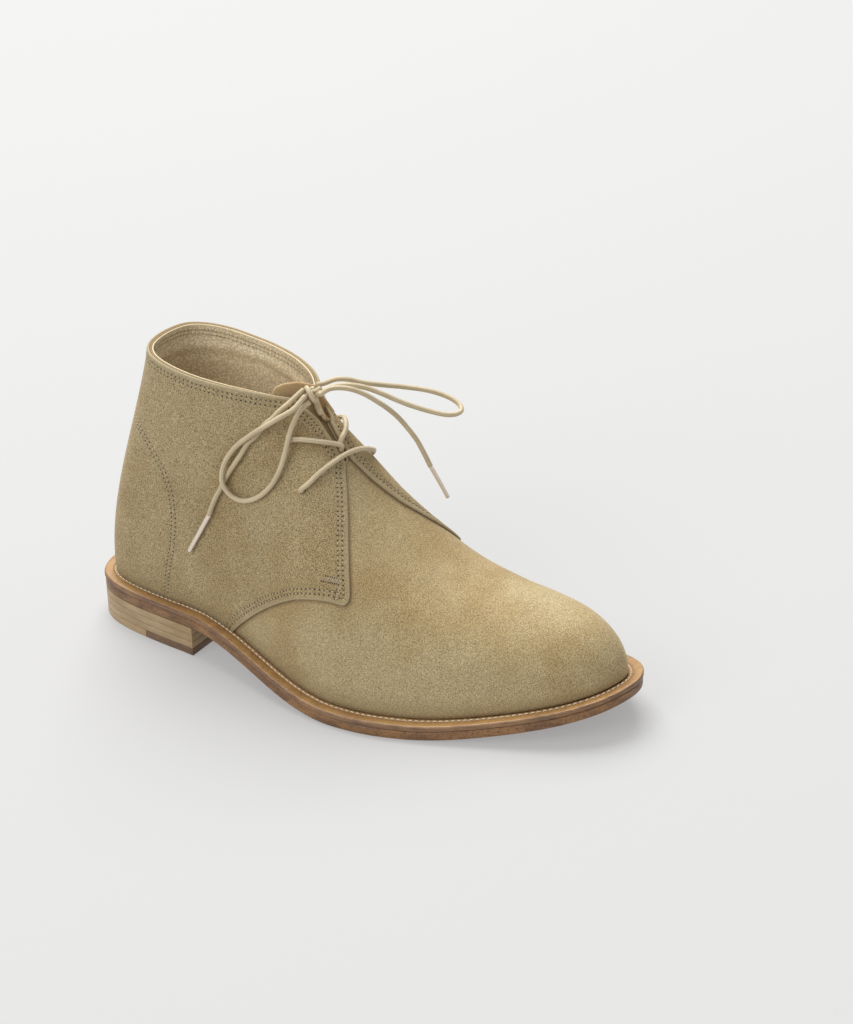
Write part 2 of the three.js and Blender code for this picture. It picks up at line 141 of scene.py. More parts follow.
LATERAL_CROSS = [
    (143.9, -6.3, 115.4), (144.9, -7, 118.2), (143.8, -8.4, 119.4), (141, -11.7, 120.9),
    (137.6, -15.3, 122.4), (133.9, -18.4, 123.5), (130.4, -20.6, 124), (126.6, -22.6, 123.8),
    (125, -20.3, 122.2),
]
MEDIAL_CROSS = [
    (142.8, -6, 117.2), (143.2, -4.2, 120.9), (142.1, 0.8, 122.6), (140.3, 4.2, 123.9), (136.9, 8.4, 124.4),
    (133.5, 11.8, 123.2), (129.6, 14.4, 121.1), (126.1, 16.3, 118.7), (125, 13.6, 117.6),
]
RISE = [(130.5, -8.2, 141.5), (130.3, -5.6, 137.6), (129.8, -3.8, 133.6), (131.4, -3.8, 130.6)]
LATERAL_LOOP = [
    (129.8, -13.7, 143.6), (126.8, -19.5, 138.5), (121.7, -25.1, 134.9), (116.4, -27.9, 131),
    (112.2, -29.7, 128), (107.7, -31.2, 124.4), (102.6, -31.9, 119.9), (98.3, -32.7, 114.9),
    (95.5, -34.2, 109.5), (94.7, -35.9, 104.4), (95.1, -36.6, 99.9), (96.7, -36, 95.9), (99.8, -35.6, 93.2),
    (104.2, -35.7, 92.3), (108.9, -36, 93.3), (114.4, -35.9, 96.1), (119.4, -35, 100.5),
    (123, -33.4, 105.6), (125.3, -31.3, 111.2), (126.5, -29.2, 117), (127, -26.9, 122.6),
    (126.7, -23.6, 127.5), (126.9, -19.5, 132.2), (127.6, -14.4, 136.6), (130.8, -11.8, 139.9),
]
MEDIAL_LOOP = [
    (131.2, -5.7, 146.6), (132.4, -1.8, 146), (135.2, 4.1, 146.4), (138.4, 9.3, 145.1),
    (142.4, 15.8, 141.8), (147.8, 25.4, 137.8), (153.8, 35.5, 134), (162.1, 42.2, 131.5), (168, 46.2, 129),
    (173.4, 48.1, 126.7), (177.8, 47.5, 124.8), (180.3, 44.6, 123.7), (180, 40.6, 123.4),
    (176.9, 36.5, 124), (171.2, 32.3, 126), (163.9, 25.6, 130.3), (158.7, 20.9, 134), (153.4, 16.4, 138),
    (148.2, 11.9, 141.5), (143.2, 6.9, 143.9), (139.4, 2.6, 144.8), (136.8, -1.1, 144.9),
    (134.5, -5.5, 143.9),
]
LATERAL_END = [
    (126.7, -10.3, 144.9), (125.2, -12.7, 143.1), (122.7, -16.5, 139.9), (119.5, -20.7, 136.4),
    (117, -23.4, 133.1), (114, -25.4, 130.2), (110.1, -28.3, 124.1), (106.5, -29.8, 120.4),
    (103.6, -31.3, 115), (100.4, -32.3, 109.9), (97.1, -33.2, 104.6), (94.5, -33.8, 100.2),
    (92.3, -34.3, 95.3), (89.5, -34.7, 90.3), (87.1, -35.1, 85), (85.1, -35.5, 79.7),
]
MEDIAL_END = [
    (135.1, -9.4, 143.7), (138.4, -6, 146.1), (142.7, -2.4, 146.2), (146.9, 1.2, 144.7),
    (150.6, 5.5, 141.5), (153.8, 10.5, 136.7), (156.9, 15.8, 131.1), (159.8, 20.1, 125.4),
    (163.2, 23.5, 118.7), (166.4, 26.1, 112), (169.2, 27.9, 104.8), (171.6, 29.1, 98.5),
]
LATERAL_TIP = [(85.1, -35.5, 79.7), (78.5, -35.8, 68.3), (71.7, -35.8, 56.8)]
MEDIAL_TIP = [(171.6, 29.1, 98.5), (175, 31.4, 90), (178.5, 33.4, 81.4)]
# The knot: one turn of the cord, drawn tight round the crossing, and two short strands through its heart.
KNOT_TURN = [
    (128.4, -8.9, 140.7), (127.1, -7.6, 141.8), (126.9, -7.9, 143.9), (127.6, -9, 145.5), (129, -10.3, 145.9),
    (130.6, -11.4, 145.1), (132, -11.6, 143.4), (132.7, -10.9, 141.4), (132.4, -9.5, 140.1),
    (131.4, -7.8, 139.8), (130.1, -6.5, 140.8), (129.1, -5.8, 142.7), (128.9, -6.2, 144.8),
]
KNOT_HEART = [
    (127.7, -12, 141.2), (128.9, -10.3, 142.7), (130.1, -8.7, 143.6), (131.9, -7.6, 144.2),
    (133.3, -5.9, 145.4),
]
KNOT_UNDER = [
    (126, -10.2, 141.9), (128.8, -9.5, 141.4), (131.1, -8.8, 141.5), (133.2, -8, 142.9),
    (134.8, -7.3, 144.2),
]


def unit(vectors):
    """Each vector at a length of 1."""
    return vectors / np.maximum(np.linalg.norm(vectors, axis=-1), 1e-9)[..., None]


def run_of(line):
    """How far along a line of places each of them lies."""
    return np.concatenate([[0], np.cumsum(np.linalg.norm(np.diff(line, axis=0), axis=1))])


def curve_through(points, step):
    """Points a step apart on a smooth centripetal curve through the given ones, in the same units."""
    p = np.asarray(points, float)
    p = np.vstack([2 * p[0] - p[1], p, 2 * p[-1] - p[-2]])
    line = []
    for k in range(1, len(p) - 2):
        four = p[k - 1:k + 3]
        knots = np.concatenate([[0], np.cumsum(np.sqrt(np.linalg.norm(np.diff(four, axis=0), axis=1)))])
        count = max(2, round(np.linalg.norm(four[2] - four[1]) / step))
        for t in np.linspace(knots[1], knots[2], count, endpoint=False):
            level = list(four)
            for spans in (((0, 1), (1, 2), (2, 3)), ((0, 2), (1, 3)), ((1, 2),)):
                level = [
                    (knots[j] - t) / (knots[j] - knots[i]) * a + (t - knots[i]) / (knots[j] - knots[i]) * b
                    for (i, j), a, b in zip(spans, level, level[1:])
                ]
            line.append(level[0])
    line.append(p[-2])
    return np.array(line)


def bands(rings, sides, closed=False):
    """Quads between rings of points, each ring after the other. Closed joins the last to the first."""
    faces = []
    for r in range(rings if closed else rings - 1):
        s = (r + 1) % rings
        for i in range(sides):
            j = (i + 1) % sides
            faces.append((r * sides + i, r * sides + j, s * sides + j, s * sides + i))
    return faces


def piece(name, points, faces, material, slot, smooth=True, **attributes):
    """A finished mesh in the frame from points in millimetres. It rides on the boot's one body."""
    mesh = bpy.data.meshes.new(name)
    mesh.from_pydata(in_frame(points).tolist(), [], [list(map(int, face)) for face in faces])
    mesh.materials.append(material)
    for kind, values in attributes.items():
        mesh.attributes.new(kind, "FLOAT", "POINT").data.foreach_set("value", np.asarray(values, np.float32))
    mesh.shade_smooth() if smooth else mesh.shade_flat()
    made = bpy.data.objects.new(name, mesh)
    bpy.context.collection.objects.link(made)
    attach(made, "root")
    return made


def tube(route, diameter, step, taper):
    """Points, faces, centreline, and each point's place along and round a cord with softened, closed ends."""
    line = curve_through(route, step)
    along = unit(np.gradient(line, axis=0))
    run = run_of(line)
    angles = np.arange(CORD_SIDES)[:, None] * 2 * math.pi / CORD_SIDES
    cosines, sines = np.cos(angles), np.sin(angles)
    side = np.cross(along[0], (0.2, 0.3, 1.0))
    rings = []
    for point, forward, gone in zip(line, along, run / run[-1]):
        side = unit(side - forward * side.dot(forward))
        other = np.cross(forward, side)
        rings.append(point + diameter / 2 * (1 - taper * gone) * (cosines * side + sines * other))
    first, last = (line[end] + (rings[end] - line[end]) * 0.62 + along[end] * way * diameter * 0.16
                   for end, way in ((0, -1), (-1, 1)))
    rings = [first, *rings, last]
    faces = bands(len(rings), CORD_SIDES)
    faces.append(tuple(range(CORD_SIDES))[::-1])
    faces.append(tuple((len(rings) - 1) * CORD_SIDES + i for i in range(CORD_SIDES)))
    where = np.repeat([0, *run, run[-1]], CORD_SIDES)
    return np.vstack(rings), faces, line, where, np.tile(np.arange(CORD_SIDES) / CORD_SIDES, len(rings))


def link(tree, source, target):
    """Joins an output socket to an input socket."""
    tree.links.new(source, target)


def maths(tree, kind, *values):
    """A Math node: each value is a number or a socket."""
    node = tree.nodes.new("ShaderNodeMath")
    node.operation = kind
    for socket, value in zip(node.inputs, values):
        if isinstance(value, (int, float)):
            socket.default_value = value
        else:
            link(tree, value, socket)
    return node.outputs[0]


def noise(tree, size, detail=2.0, stretch=(1, 1, 1), rough=0.5):
    """Noise on Object coordinates, whose blobs are about a size in millimetres, longer along a stretch."""
    where = tree.nodes.new("ShaderNodeTexCoord")
    mapping = tree.nodes.new("ShaderNodeMapping")
    mapping.inputs["Scale"].default_value = tuple(1 / (size * MM * s) for s in stretch)
    texture = tree.nodes.new("ShaderNodeTexNoise")
    texture.inputs["Scale"].default_value = 1.0
    texture.inputs["Detail"].default_value = detail
    texture.inputs["Roughness"].default_value = rough
    link(tree, where.outputs["Object"], mapping.inputs["Vector"])
    link(tree, mapping.outputs[0], texture.inputs["Vector"])
    return texture.outputs["Fac"]


def spread(tree, value, low, high, bottom=0.0, top=1.0):
    """A value's stretch from low to high, clamped, as bottom to top."""
    node = tree.nodes.new("ShaderNodeMapRange")
    node.interpolation_type = "SMOOTHSTEP"
    for socket, number in zip(node.inputs[1:5], (low, high, bottom, top)):
        socket.default_value = number
    link(tree, value, node.inputs[0])
    return node.outputs[0]


def blend(tree, factor, first, second, kind="MIX"):
    """Two colours mixed by a factor; each is a colour or a socket."""
    node = tree.nodes.new("ShaderNodeMix")
    node.data_type = "RGBA"
    node.blend_type = kind
    for socket, value in zip((node.inputs[0], node.inputs[6], node.inputs[7]), (factor, first, second)):
        if isinstance(value, tuple):
            socket.default_value = (*value, 1)
        elif isinstance(value, (int, float)):
            socket.default_value = value
        else:
            link(tree, value, socket)
    return node.outputs[2]


def attribute(tree, name):
    """One of the numbers that a piece's points carry."""
    node = tree.nodes.new("ShaderNodeAttribute")
    node.attribute_name = name
    return node.outputs["Fac"]


def relief(tree, shader, height, distance, strength=1.0):
    """Bump from a height of 0 to 1, a distance in millimetres deep, over any bump already there."""
    node = tree.nodes.new("ShaderNodeBump")
    node.inputs["Strength"].default_value = strength
    node.inputs["Distance"].default_value = distance * MM
    link(tree, height, node.inputs["Height"])
    before = shader.inputs["Normal"].links
    if before:
        link(tree, before[0].from_socket, node.inputs["Normal"])
    link(tree, node.outputs[0], shader.inputs["Normal"])


def cotton():
    """Waxed cotton braid: two families of strands that wind round the cord in opposite directions."""
    made, tree, shader = dress("waxed_cotton", (0.66, 0.55, 0.37), 0.5,
                               Sheen_Weight=0.12, Sheen_Roughness=0.4)
    along = maths(tree, "MULTIPLY", attribute(tree, "run"), 5.6)
    round_it = maths(tree, "MULTIPLY", attribute(tree, "turn"), 8 * math.pi)
    one = maths(tree, "SINE", maths(tree, "ADD", along, round_it))
    two = maths(tree, "SINE", maths(tree, "SUBTRACT", along, round_it))
    weave = spread(tree, maths(tree, "MULTIPLY", one, two), -0.8, 0.8)
    patch = spread(tree, noise(tree, 9, 3), 0.35, 0.65)
    base = blend(tree, patch, (0.58, 0.475, 0.30), (0.68, 0.57, 0.38))
    link(tree, blend(tree, weave, (0.44, 0.35, 0.215), base), shader.inputs["Base Color"])
    relief(tree, shader, weave, 0.12, 0.6)
    return made


def clear_film():
    """Clear film rolled round the cord's end, darker along two sides and paler along the two between."""
    made, tree, shader = dress("clear_tip", (0.72, 0.62, 0.50), 0.2, Coat_Weight=0.6, Coat_Roughness=0.12)
    facing = maths(tree, "PINGPONG", attribute(tree, "turn"), 0.25)
    link(tree, blend(tree, spread(tree, facing, 0.03, 0.2), (0.62, 0.50, 0.39), (0.84, 0.75, 0.64)),
         shader.inputs["Base Color"])
    return made


def strand(name, routes, diameter, material, slot, step=CORD_STEP, taper=0.0):
    """One piece of cord, or a few that cross, as tubes in one mesh, with the first one's path and length."""
    tubes = [tube(route, diameter, step, taper) for route in routes]
    faces, count = [], 0
    for points, its_faces, *_ in tubes:
        faces += [tuple(i + count for i in face) for face in its_faces]
        count += len(points)
    points, _, lines, run, turn = zip(*tubes)
    made = piece(name, np.vstack(points), faces, material, slot,
                 run=np.concatenate(run), turn=np.concatenate(turn))
    return made, in_frame(lines[0]), float(run_of(lines[0])[-1]) * MM


cotton_material, tip_material = cotton(), clear_film()
bar = strand("lace_bar_cord", [BAR], LACE, cotton_material, "lace")[0]
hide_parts("lace_bar")
cross = strand("lace_crossing_cord", [LATERAL_CROSS, MEDIAL_CROSS], LACE, cotton_material, "lace")[0]
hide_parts("lace_crossing")
knot_routes = [KNOT_TURN, KNOT_HEART, KNOT_UNDER, RISE]
knot = strand("lace_knot_turn", knot_routes, LACE, cotton_material, "lace", KNOT_STEP)[0]
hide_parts("lace_knot")
for name, route, companions in (("lateral", LATERAL_LOOP, (knot,)), ("medial", MEDIAL_LOOP, ())):
    loop, path, length = strand(f"lace_loop_{name}_cord", [route], LACE, cotton_material, "lace")
    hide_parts(f"lace_loop_{name}")
for name, route, tip_route in (("lateral", LATERAL_END, LATERAL_TIP), ("medial", MEDIAL_END, MEDIAL_TIP)):
    end, path, length = strand(f"lace_end_{name}_cord", [route], LACE, cotton_material, "lace")
    tip = strand(f"lace_tip_{name}_film", [tip_route], TIP, tip_material, "lace_tip", TIP_STEP, TIP_TAPER)[0]
    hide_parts(f"lace_end_{name}")
    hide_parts(f"lace_tip_{name}")


# The quarters. Two pieces of khaki suede with the grain side in, that wrap the heel and lap over the vamp,
# lasted over the boot's own form. Their edges are turned and rolled, with two rows of stitches beside them,
# and a double row behind marks the heel counter.
HEEL_HEIGHT, BREAST_X = 15.5, 73.0
TREAD_START, TREAD_END = 168.0, 204.0
TOE_SPRING = 17.0
OUTSOLE, WELT, WELT_REACH = 4.8, 3.0, 6.2
LENGTH = 295.5
GAP = 0.3
COLUMNS = ("x", "lat", "med", "topX", "topZ", "topLat", "topMed", "arch", "full", "belly")
LAST = np.array([
    (0, -5, -5, 39, 154.5, -3, -3, 0, 2, 5),
    (4, -20, 10, 41.5, 154.3, -17, 11, 0, 2, 4.6),
    (14, -29.5, 20, 48.5, 153, -25.5, 19.5, 0, 2, 3.8),
    (30, -35, 26.5, 60, 151, -29.5, 24.5, 0, 2, 2.6),
    (52, -38.5, 29, 75, 148.5, -30, 26, 0.05, 2, 1.8),
    (73, -41, 29, 90, 146.5, -28, 25, 0.15, 2, 1.2),
    (95, -46.5, 27, 105, 144, -22.5, 21.5, 0.35, 2, 0.8),
    (117, -53, 28, 117.5, 141, -14.5, 15, 0.6, 1.9, 0.6),
    (136, -58.5, 32.5, 127.5, 136, -3, 4, 0.85, 1.85, 0.5),
    (153, -62, 37, 136.5, 125.5, 0.5, 0.5, 1, 1.85, 0.5),
    (170, -63.5, 41.5, 147, 113.5, 1.5, 1.5, 1, 1.9, 0.5),
    (188, -62, 45, 158.5, 98, 3, 3, 1, 2, 0.5),
    (206, -57, 48, 176, 81.5, 5, 5, 1, 2.1, 0.6),
    (224, -50, 49.5, 197, 67, 7, 7, 1, 2.2, 0.8),
    (242, -41.5, 48.5, 221, 58.5, 9, 9, 1, 2.3, 1),
    (259, -33, 45, 243, 55.5, 10, 10, 1, 2.3, 1),
    (274, -24, 38, 262, 52.5, 10.5, 10.5, 1, 2.3, 1),
    (286, -13, 29.5, 276, 46.5, 10.5, 10.5, 1, 2.2, 1),
    (293, -1, 20, 284.5, 38.5, 10.5, 10.5, 1, 2, 0.8),
    (295.5, 10, 10, 288, 31, 10, 10, 1, 2, 0.5),
], float)
LATERAL_EDGE = [
    (146, 118), (148.3, 110.3), (153.8, 100.4), (159.5, 89.5), (164.7, 78.4), (169.4, 66.8), (171.9, 59.2),
    (170, 57), (166.6, 58.3), (161.3, 58.8), (155, 58.3), (148.2, 57), (142, 54.7), (134.1, 50.4),
    (127.7, 46.3), (121.1, 41.6), (114.5, 36.4), (107.7, 30.3), (102, 24.9), (98.5, 20.5),
]
MEDIAL_EDGE = [
    (198, 118), (198, 61), (182, 61), (166, 60.5), (150, 57), (134, 51), (121, 43), (109, 34), (99, 25),
]
MEDIAL_FRONT = [(146, -6.5), (151, -2.5), (160, 3), (169, 8.5), (179, 18), (186, 27), (190, 36)]
PARTING = -6.5
THROAT = [
    (111, -8.6, -4.4), (117, -8.2, -3.4), (122, -7.2, -2.6), (129, -6.5, -0.5), (137, -9.5, 2.5),
    (160, -18, 8),
]
COUNTER = [
    (14, 121.5), (26, 119.8), (37.2, 115.3), (48, 106), (56.4, 94.8), (60.5, 83), (61.4, 69.8), (59, 54),
    (54.9, 39.7), (51.5, 22),
]
STATIONS_PER_ROW, WALL_LEVELS = 8, 56
LINE_STEP, LINE_PASSES = 0.7, 6
LEATHER = 1.12
ROLL = 0.6
EDGE_ROWS = (3.0, 5.2)
COUNTER_ROWS = (-1.2, 1.2)
LACE_HOLES = [
    ((137.5, -30.5, 103.4), (0.2, -0.8, 0.55)), ((125.5, -21.1, 122.7), (0.47, -0.76, 0.45)),
    ((138.5, 19.1, 98), (0, 0.95, 0.3)), ((125, 14.9, 118), (0.28, 0.93, 0.25)),
]
HOLE_RADIUS = 1.8
STITCH = 2.35
THREAD = 0.5


def underside(x):
    """Height of the outsole's underside along the boot."""
    x = np.asarray(x, float)
    u = np.clip((x - BREAST_X - 2) / (TREAD_START - BREAST_X - 2), 0, 1)
    toe = np.maximum(0, (x - TREAD_END) / (LENGTH - TREAD_END))
    return HEEL_HEIGHT * (1 - u * u * (3 - 2 * u)) + TOE_SPRING * toe ** 1.7


def last_rows(t):
    """The last table at positions t, by a uniform Catmull-Rom curve that turns round both ends."""
    sides_swapped = ("x", "med", "lat", "topX", "topZ", "topMed", "topLat", "arch", "full", "belly")
    turned = [COLUMNS.index(column) for column in sides_swapped]
    rows = np.vstack([LAST[1, turned], LAST, LAST[-2, turned]])
    i = np.minimum(t.astype(int), len(LAST) - 2)
    u = (t - i)[:, None]
    a, b, c, d = (rows[i + k] for k in range(4))
    values = 0.5 * (2 * b + (c - a) * u + (2 * a - 5 * b + 4 * c - d) * u**2 + (3 * b - a - 3 * c + d) * u**3)
    return dict(zip(COLUMNS, values.T))


def outline(inset):
    """The sole's outline from above, moved inward: x, y and the outward direction, up one side and back."""
    count = (len(LAST) - 1) * STATIONS_PER_ROW
    t = np.concatenate([np.arange(count + 1), np.arange(count - 1, 0, -1)]) / STATIONS_PER_ROW
    rows = last_rows(t)
    lateral = np.arange(len(t)) <= count
    edge = np.stack([rows["x"], np.where(lateral, rows["lat"], rows["med"])], 1)
    along = unit(np.roll(edge, -1, 0) - np.roll(edge, 1, 0))
    out = np.stack([along[:, 1], -along[:, 0]], 1)
    return edge - out * inset, out, rows, lateral


def wall(rise=0.0):
    """The foot form as a welded skin: a table of points (place, normal, level) and its triangles.

    A rise carries it straight up past its top by so many millimetres.
    """
    foot, out, rows, lateral = outline(WELT_REACH)
    n = len(foot)
    middle = (rows["topLat"] + rows["topMed"]) / 2
    top_y = np.where(lateral, np.minimum(rows["topLat"], middle), np.maximum(rows["topMed"], middle))
    foot_z = underside(foot[:, 0]) + OUTSOLE + WELT + GAP
    rings, levels = [], []
    for level in range(WALL_LEVELS + 1):
        s = level / WALL_LEVELS
        angle, power, arch = s * math.pi / 2, 2 / rows["full"], rows["arch"]
        up_by = s + (np.sin(angle) ** power - s) * arch
        in_by = s + (1 - max(0.0, math.cos(angle)) ** power - s) * arch
        swell = rows["belly"] * 6.75 * s * (1 - s) ** 2
        rings.append(np.stack([
            foot[:, 0] + (rows["topX"] - foot[:, 0]) * up_by + out[:, 0] * swell,
            foot[:, 1] + (top_y - foot[:, 1]) * in_by + out[:, 1] * swell,
            foot_z + (rows["topZ"] - foot_z) * up_by,
        ], 1))
        levels.append(s)
    if rise:
        width = np.clip((rows["topMed"] - rows["topLat"] - 0.5) / 11.5, 0, 1)
        for k in range(1, 7):
            rings.append(rings[WALL_LEVELS] + np.stack([0 * width, 0 * width, k / 6 * rise * width], 1))
            levels.append(1 + k / 100)
    grid = np.array(rings)
    along = np.roll(grid, -1, 1) - np.roll(grid, 1, 1)
    climb = np.gradient(grid, axis=0)
    climb[-1] = np.where(np.linalg.norm(climb[-1], axis=1)[:, None] < 1e-6, climb[-2], climb[-1])
    normal = unit(np.cross(along, climb))
    normal[0, :, 2] = 0
    normal[0] = unit(normal[0])
    opposite = (-np.arange(n)) % n
    index = np.arange(len(grid) * n).reshape(len(grid), n)
    for r in range(WALL_LEVELS, len(grid)):
        shut = np.linalg.norm(grid[r] - grid[r][opposite], axis=1) < 0.02
        normal[r][shut] = unit(normal[r] + normal[r][opposite])[shut]
        index[r] = np.where(shut, index[r][np.minimum(np.arange(n), opposite)], index[r])
        if r > WALL_LEVELS:
            index[r] = np.where(shut, index[WALL_LEVELS], index[r])
    table = np.concatenate([
        grid.reshape(-1, 3), normal.reshape(-1, 3), np.repeat(levels, n)[:, None],
    ], 1)
    quads = []
    for r in range(len(grid) - 1):
        a, b = index[r], np.roll(index[r], -1)
        c, d = np.roll(index[r + 1], -1), index[r + 1]
        quads.append(np.stack([a, b, c], 1))
        quads.append(np.stack([a, c, d], 1))
    faces = np.vstack(quads)
    keep = (faces[:, 0] != faces[:, 1]) & (faces[:, 1] != faces[:, 2]) & (faces[:, 2] != faces[:, 0])
    return table, faces[keep]


def inside_of(points, outline_points):
    """Signed distance of flat points to a closed outline, positive inside."""
    ring = np.asarray(outline_points, float)
    nearest = np.full(len(points), np.inf)
    inside = np.zeros(len(points), bool)
    for a, b in zip(ring, np.roll(ring, -1, 0)):
        run = b - a
        t = np.clip((points - a) @ run / (run @ run), 0, 1)
        nearest = np.minimum(nearest, np.linalg.norm(points - a - t[:, None] * run, axis=1))
        crosses = (a[1] > points[:, 1]) != (b[1] > points[:, 1])
        rise = b[1] - a[1] if b[1] != a[1] else 1.0
        inside ^= crosses & (points[:, 0] < run[0] * (points[:, 1] - a[1]) / rise + a[0])
    return np.where(inside, nearest, -nearest)


def quarter_field(p):
    """Roughly how far a point of the skin is inside the quarters' cut edges, in millimetres."""
    rear = [(99, -20), (-40, -20), (-40, 200)]
    lateral = inside_of(p[:, [0, 2]], LATERAL_EDGE + rear + [(146, 200)])
    medial = inside_of(p[:, [0, 2]], MEDIAL_EDGE + rear + [(198, 200)])
    plan = inside_of(p[:, [0, 1]], MEDIAL_FRONT + [(190, 100), (-40, 100), (-40, -100), (146, -100)])
    return np.minimum(np.where(p[:, 1] < PARTING, lateral, np.minimum(medial, plan)), -throat_field(p))


def throat_field(p):
    """Roughly how far a point of the skin is inside the gap between the quarters' fronts."""
    edge = [(med, z) for z, lat, med in THROAT] + [(lat, z) for z, lat, med in THROAT][::-1]
    return np.where(p[:, 0] > 100, inside_of(p[:, [1, 2]], edge), -50.0)


def counter_field(p):
    """How far a point is inside the heel counter, as seen from the side."""
    return inside_of(p[:, [0, 2]], COUNTER + [(51.5, -20), (-40, -20), (-40, 121.5)])


def split(table, faces, field, snap=0.0):
    """Cuts a skin's triangles where a field is 0, so that edges run there. Near points are moved onto it."""
    field = field.copy()
    if snap:
        a, b, c = (table[faces[:, k], :3] for k in range(3))
        normal = np.cross(b - a, c - a)
        area = np.maximum((normal ** 2).sum(1), 1e-12)[:, None]
        slope = (np.cross(normal, c - b) * field[faces[:, 0]][:, None] + np.cross(normal, a - c)
                 * field[faces[:, 1]][:, None] + np.cross(normal, b - a) * field[faces[:, 2]][:, None]) / area
        total = np.zeros((len(table), 3))
        weight = np.zeros(len(table))
        for k in range(3):
            np.add.at(total, faces[:, k], slope * np.sqrt(area))
            np.add.at(weight, faces[:, k], np.sqrt(area[:, 0]))
        total /= np.maximum(weight, 1e-9)[:, None]
        steep = (total ** 2).sum(1)
        near = (np.abs(field) < snap) & (steep > 0.2)
        table = table.copy()
        table[near, :3] -= total[near] * (field[near] / steep[near])[:, None]
        field[near] = 0
    field[np.abs(field) < 1e-5] = 0
    side = np.sign(field).astype(int)
    cut = (side[faces].min(1) < 0) & (side[faces].max(1) > 0)
    rows, kept, made = [], [], {}
    for tri in faces[cut]:
        signs = side[tri]
        for turn in range(3):
            a, b, c = np.roll(tri, -turn)
            sa, sb, sc = np.roll(signs, -turn)
            if sa == 0 and sb * sc < 0:
                m = crossing(table, field, b, c, made, rows)
                kept += [(a, b, m), (a, m, c)]
                break
            if sa != 0 and sb != sa and sc != sa and sb * sc > 0:
                m, k = crossing(table, field, a, b, made, rows), crossing(table, field, a, c, made, rows)
                kept += [(a, m, k), (m, b, c), (m, c, k)]
                break
    table = np.vstack([table] + ([np.array(rows)] if rows else []))
    faces = np.vstack([faces[~cut]] + ([np.array(kept)] if kept else []))
    return table, faces, np.concatenate([field, np.zeros(len(rows))])


def crossing(table, field, a, b, made, rows):
    """The number of the point on the edge from a to b where a field is 0, made once for both triangles."""
    key = (min(a, b), max(a, b))
    if key not in made:
        t = field[key[0]] / (field[key[0]] - field[key[1]])
        made[key] = len(table) + len(rows)
        rows.append(table[key[0]] * (1 - t) + table[key[1]] * t)
    return made[key]


def rims(faces):
    """The edges that only one triangle has, in its direction, chained into runs of points."""
    edges = np.vstack([faces[:, [0, 1]], faces[:, [1, 2]], faces[:, [2, 0]]])
    there = {tuple(edge) for edge in edges.tolist()}
    follow = {a: b for a, b in there if (b, a) not in there}
    starts = [a for a in follow if a not in set(follow.values())]
    runs = []
    while follow:
        here = starts.pop() if starts else next(iter(follow))
        run = [here]
        while here in follow:
            here = follow.pop(here)
            run.append(here)
        runs.append(run)
    return runs


def soften(line, times=LINE_PASSES, step=LINE_STEP):
    """A run of places smoothed and set a step apart."""
    for _ in range(times):
        line = np.vstack([line[:1], (line[:-2] + 2 * line[1:-1] + line[2:]) / 4, line[-1:]])
    run = run_of(line)
    at = np.linspace(0, run[-1], int(run[-1] / step) + 1)
    return np.stack([np.interp(at, run, line[:, k]) for k in range(3)], 1)


def finder(places):
    """A tree that finds the nearest of some places."""
    tree = KDTree(len(places))
    for k, place in enumerate(places):
        tree.insert(place, k)
    tree.balance()
    return tree


def beside(points, line):
    """How far each point is from a line of places, and how far along it the nearest place is."""
    tree = finder(line)
    run = run_of(line)
    far, along = np.empty(len(points)), np.empty(len(points))
    for i, point in enumerate(points):
        k = tree.find(point)[1]
        best = (np.inf, 0)
        for j in (k - 1, k):
            if 0 <= j < len(line) - 1:
                step = line[j + 1] - line[j]
                t = min(1, max(0, (point - line[j]) @ step / (step @ step)))
                gap = np.linalg.norm(point - line[j] - step * t)
                best = min(best, (gap, run[j] + t * (run[j + 1] - run[j])))
        far[i], along[i] = best
    return far, along


def free_edge(table, faces, field):
    """The edge of the part of a skin where a field is positive, but for its foot, as one smooth line."""
    cut_table, cut_faces, cut_field = split(table, faces, field)
    part = cut_faces[cut_field[cut_faces].sum(1) > 0]
    foot = cut_table[:, 6] < 1e-6
    runs = []
    for run in rims(part):
        run = np.array(run)
        if run[0] == run[-1] and foot[run].any():
            run = np.roll(run[:-1], -int(np.argmax(foot[run])))
        on = ~foot[run]
        for group in np.split(np.arange(len(run)), np.where(~on)[0]):
            group = group[on[group]]
            if len(group) > 40:
                runs.append(cut_table[run[group], :3])
    return max(runs, key=len)


def sheet_of_leather(table, faces, edge, outer, inner, roll):
    """A closed layer between two offsets of a skin. Where edge is true the rim is rolled, elsewhere square.

    Each offset may vary from point to point. The last result gives the skin's point under each new one.
    """
    used = np.unique(faces)
    renumber = np.full(len(table), -1)
    renumber[used] = np.arange(len(used))
    t, f = table[used], renumber[faces]
    top, low = (t[:, :3] + t[:, 3:6] * np.broadcast_to(offset, len(table))[used][:, None]
                for offset in (outer, inner))
    n = len(t)
    points, all_faces = [top, low], [*map(tuple, f), *(tuple(x[::-1]) for x in f + n)]
    source = [np.arange(n), np.arange(n)]
    count = 2 * n
    for run in rims(f):
        closed = run[0] == run[-1]
        ring = np.array(run[:-1] if closed else run)
        place = t[ring, :3]
        ahead = np.roll(place, -1, 0) - np.roll(place, 1, 0)
        if not closed:
            ahead[0], ahead[-1] = place[1] - place[0], place[-1] - place[-2]
        outward = unit(np.cross(ahead, t[ring, 3:6]))
        reach = np.where(edge[used][ring], roll, 0.0)[:, None]
        middle, half = (top[ring] + low[ring]) / 2, (top[ring] - low[ring]) / 2
        rings = [ring]
        for k in range(1, 5):
            angle = math.pi * k / 5
            points.append(middle + half * math.cos(angle) + outward * reach * math.sin(angle))
            source.append(ring)
            rings.append(np.arange(count, count + len(ring)))
            count += len(ring)
        rings.append(ring + n)
        last = len(ring) if closed else len(ring) - 1
        for a, b in zip(rings, rings[1:]):
            for i in range(last):
                j = (i + 1) % len(ring)
                all_faces.append((a[j], a[i], b[i], b[j]))
    return np.vstack(points), all_faces, used[np.concatenate(source)]


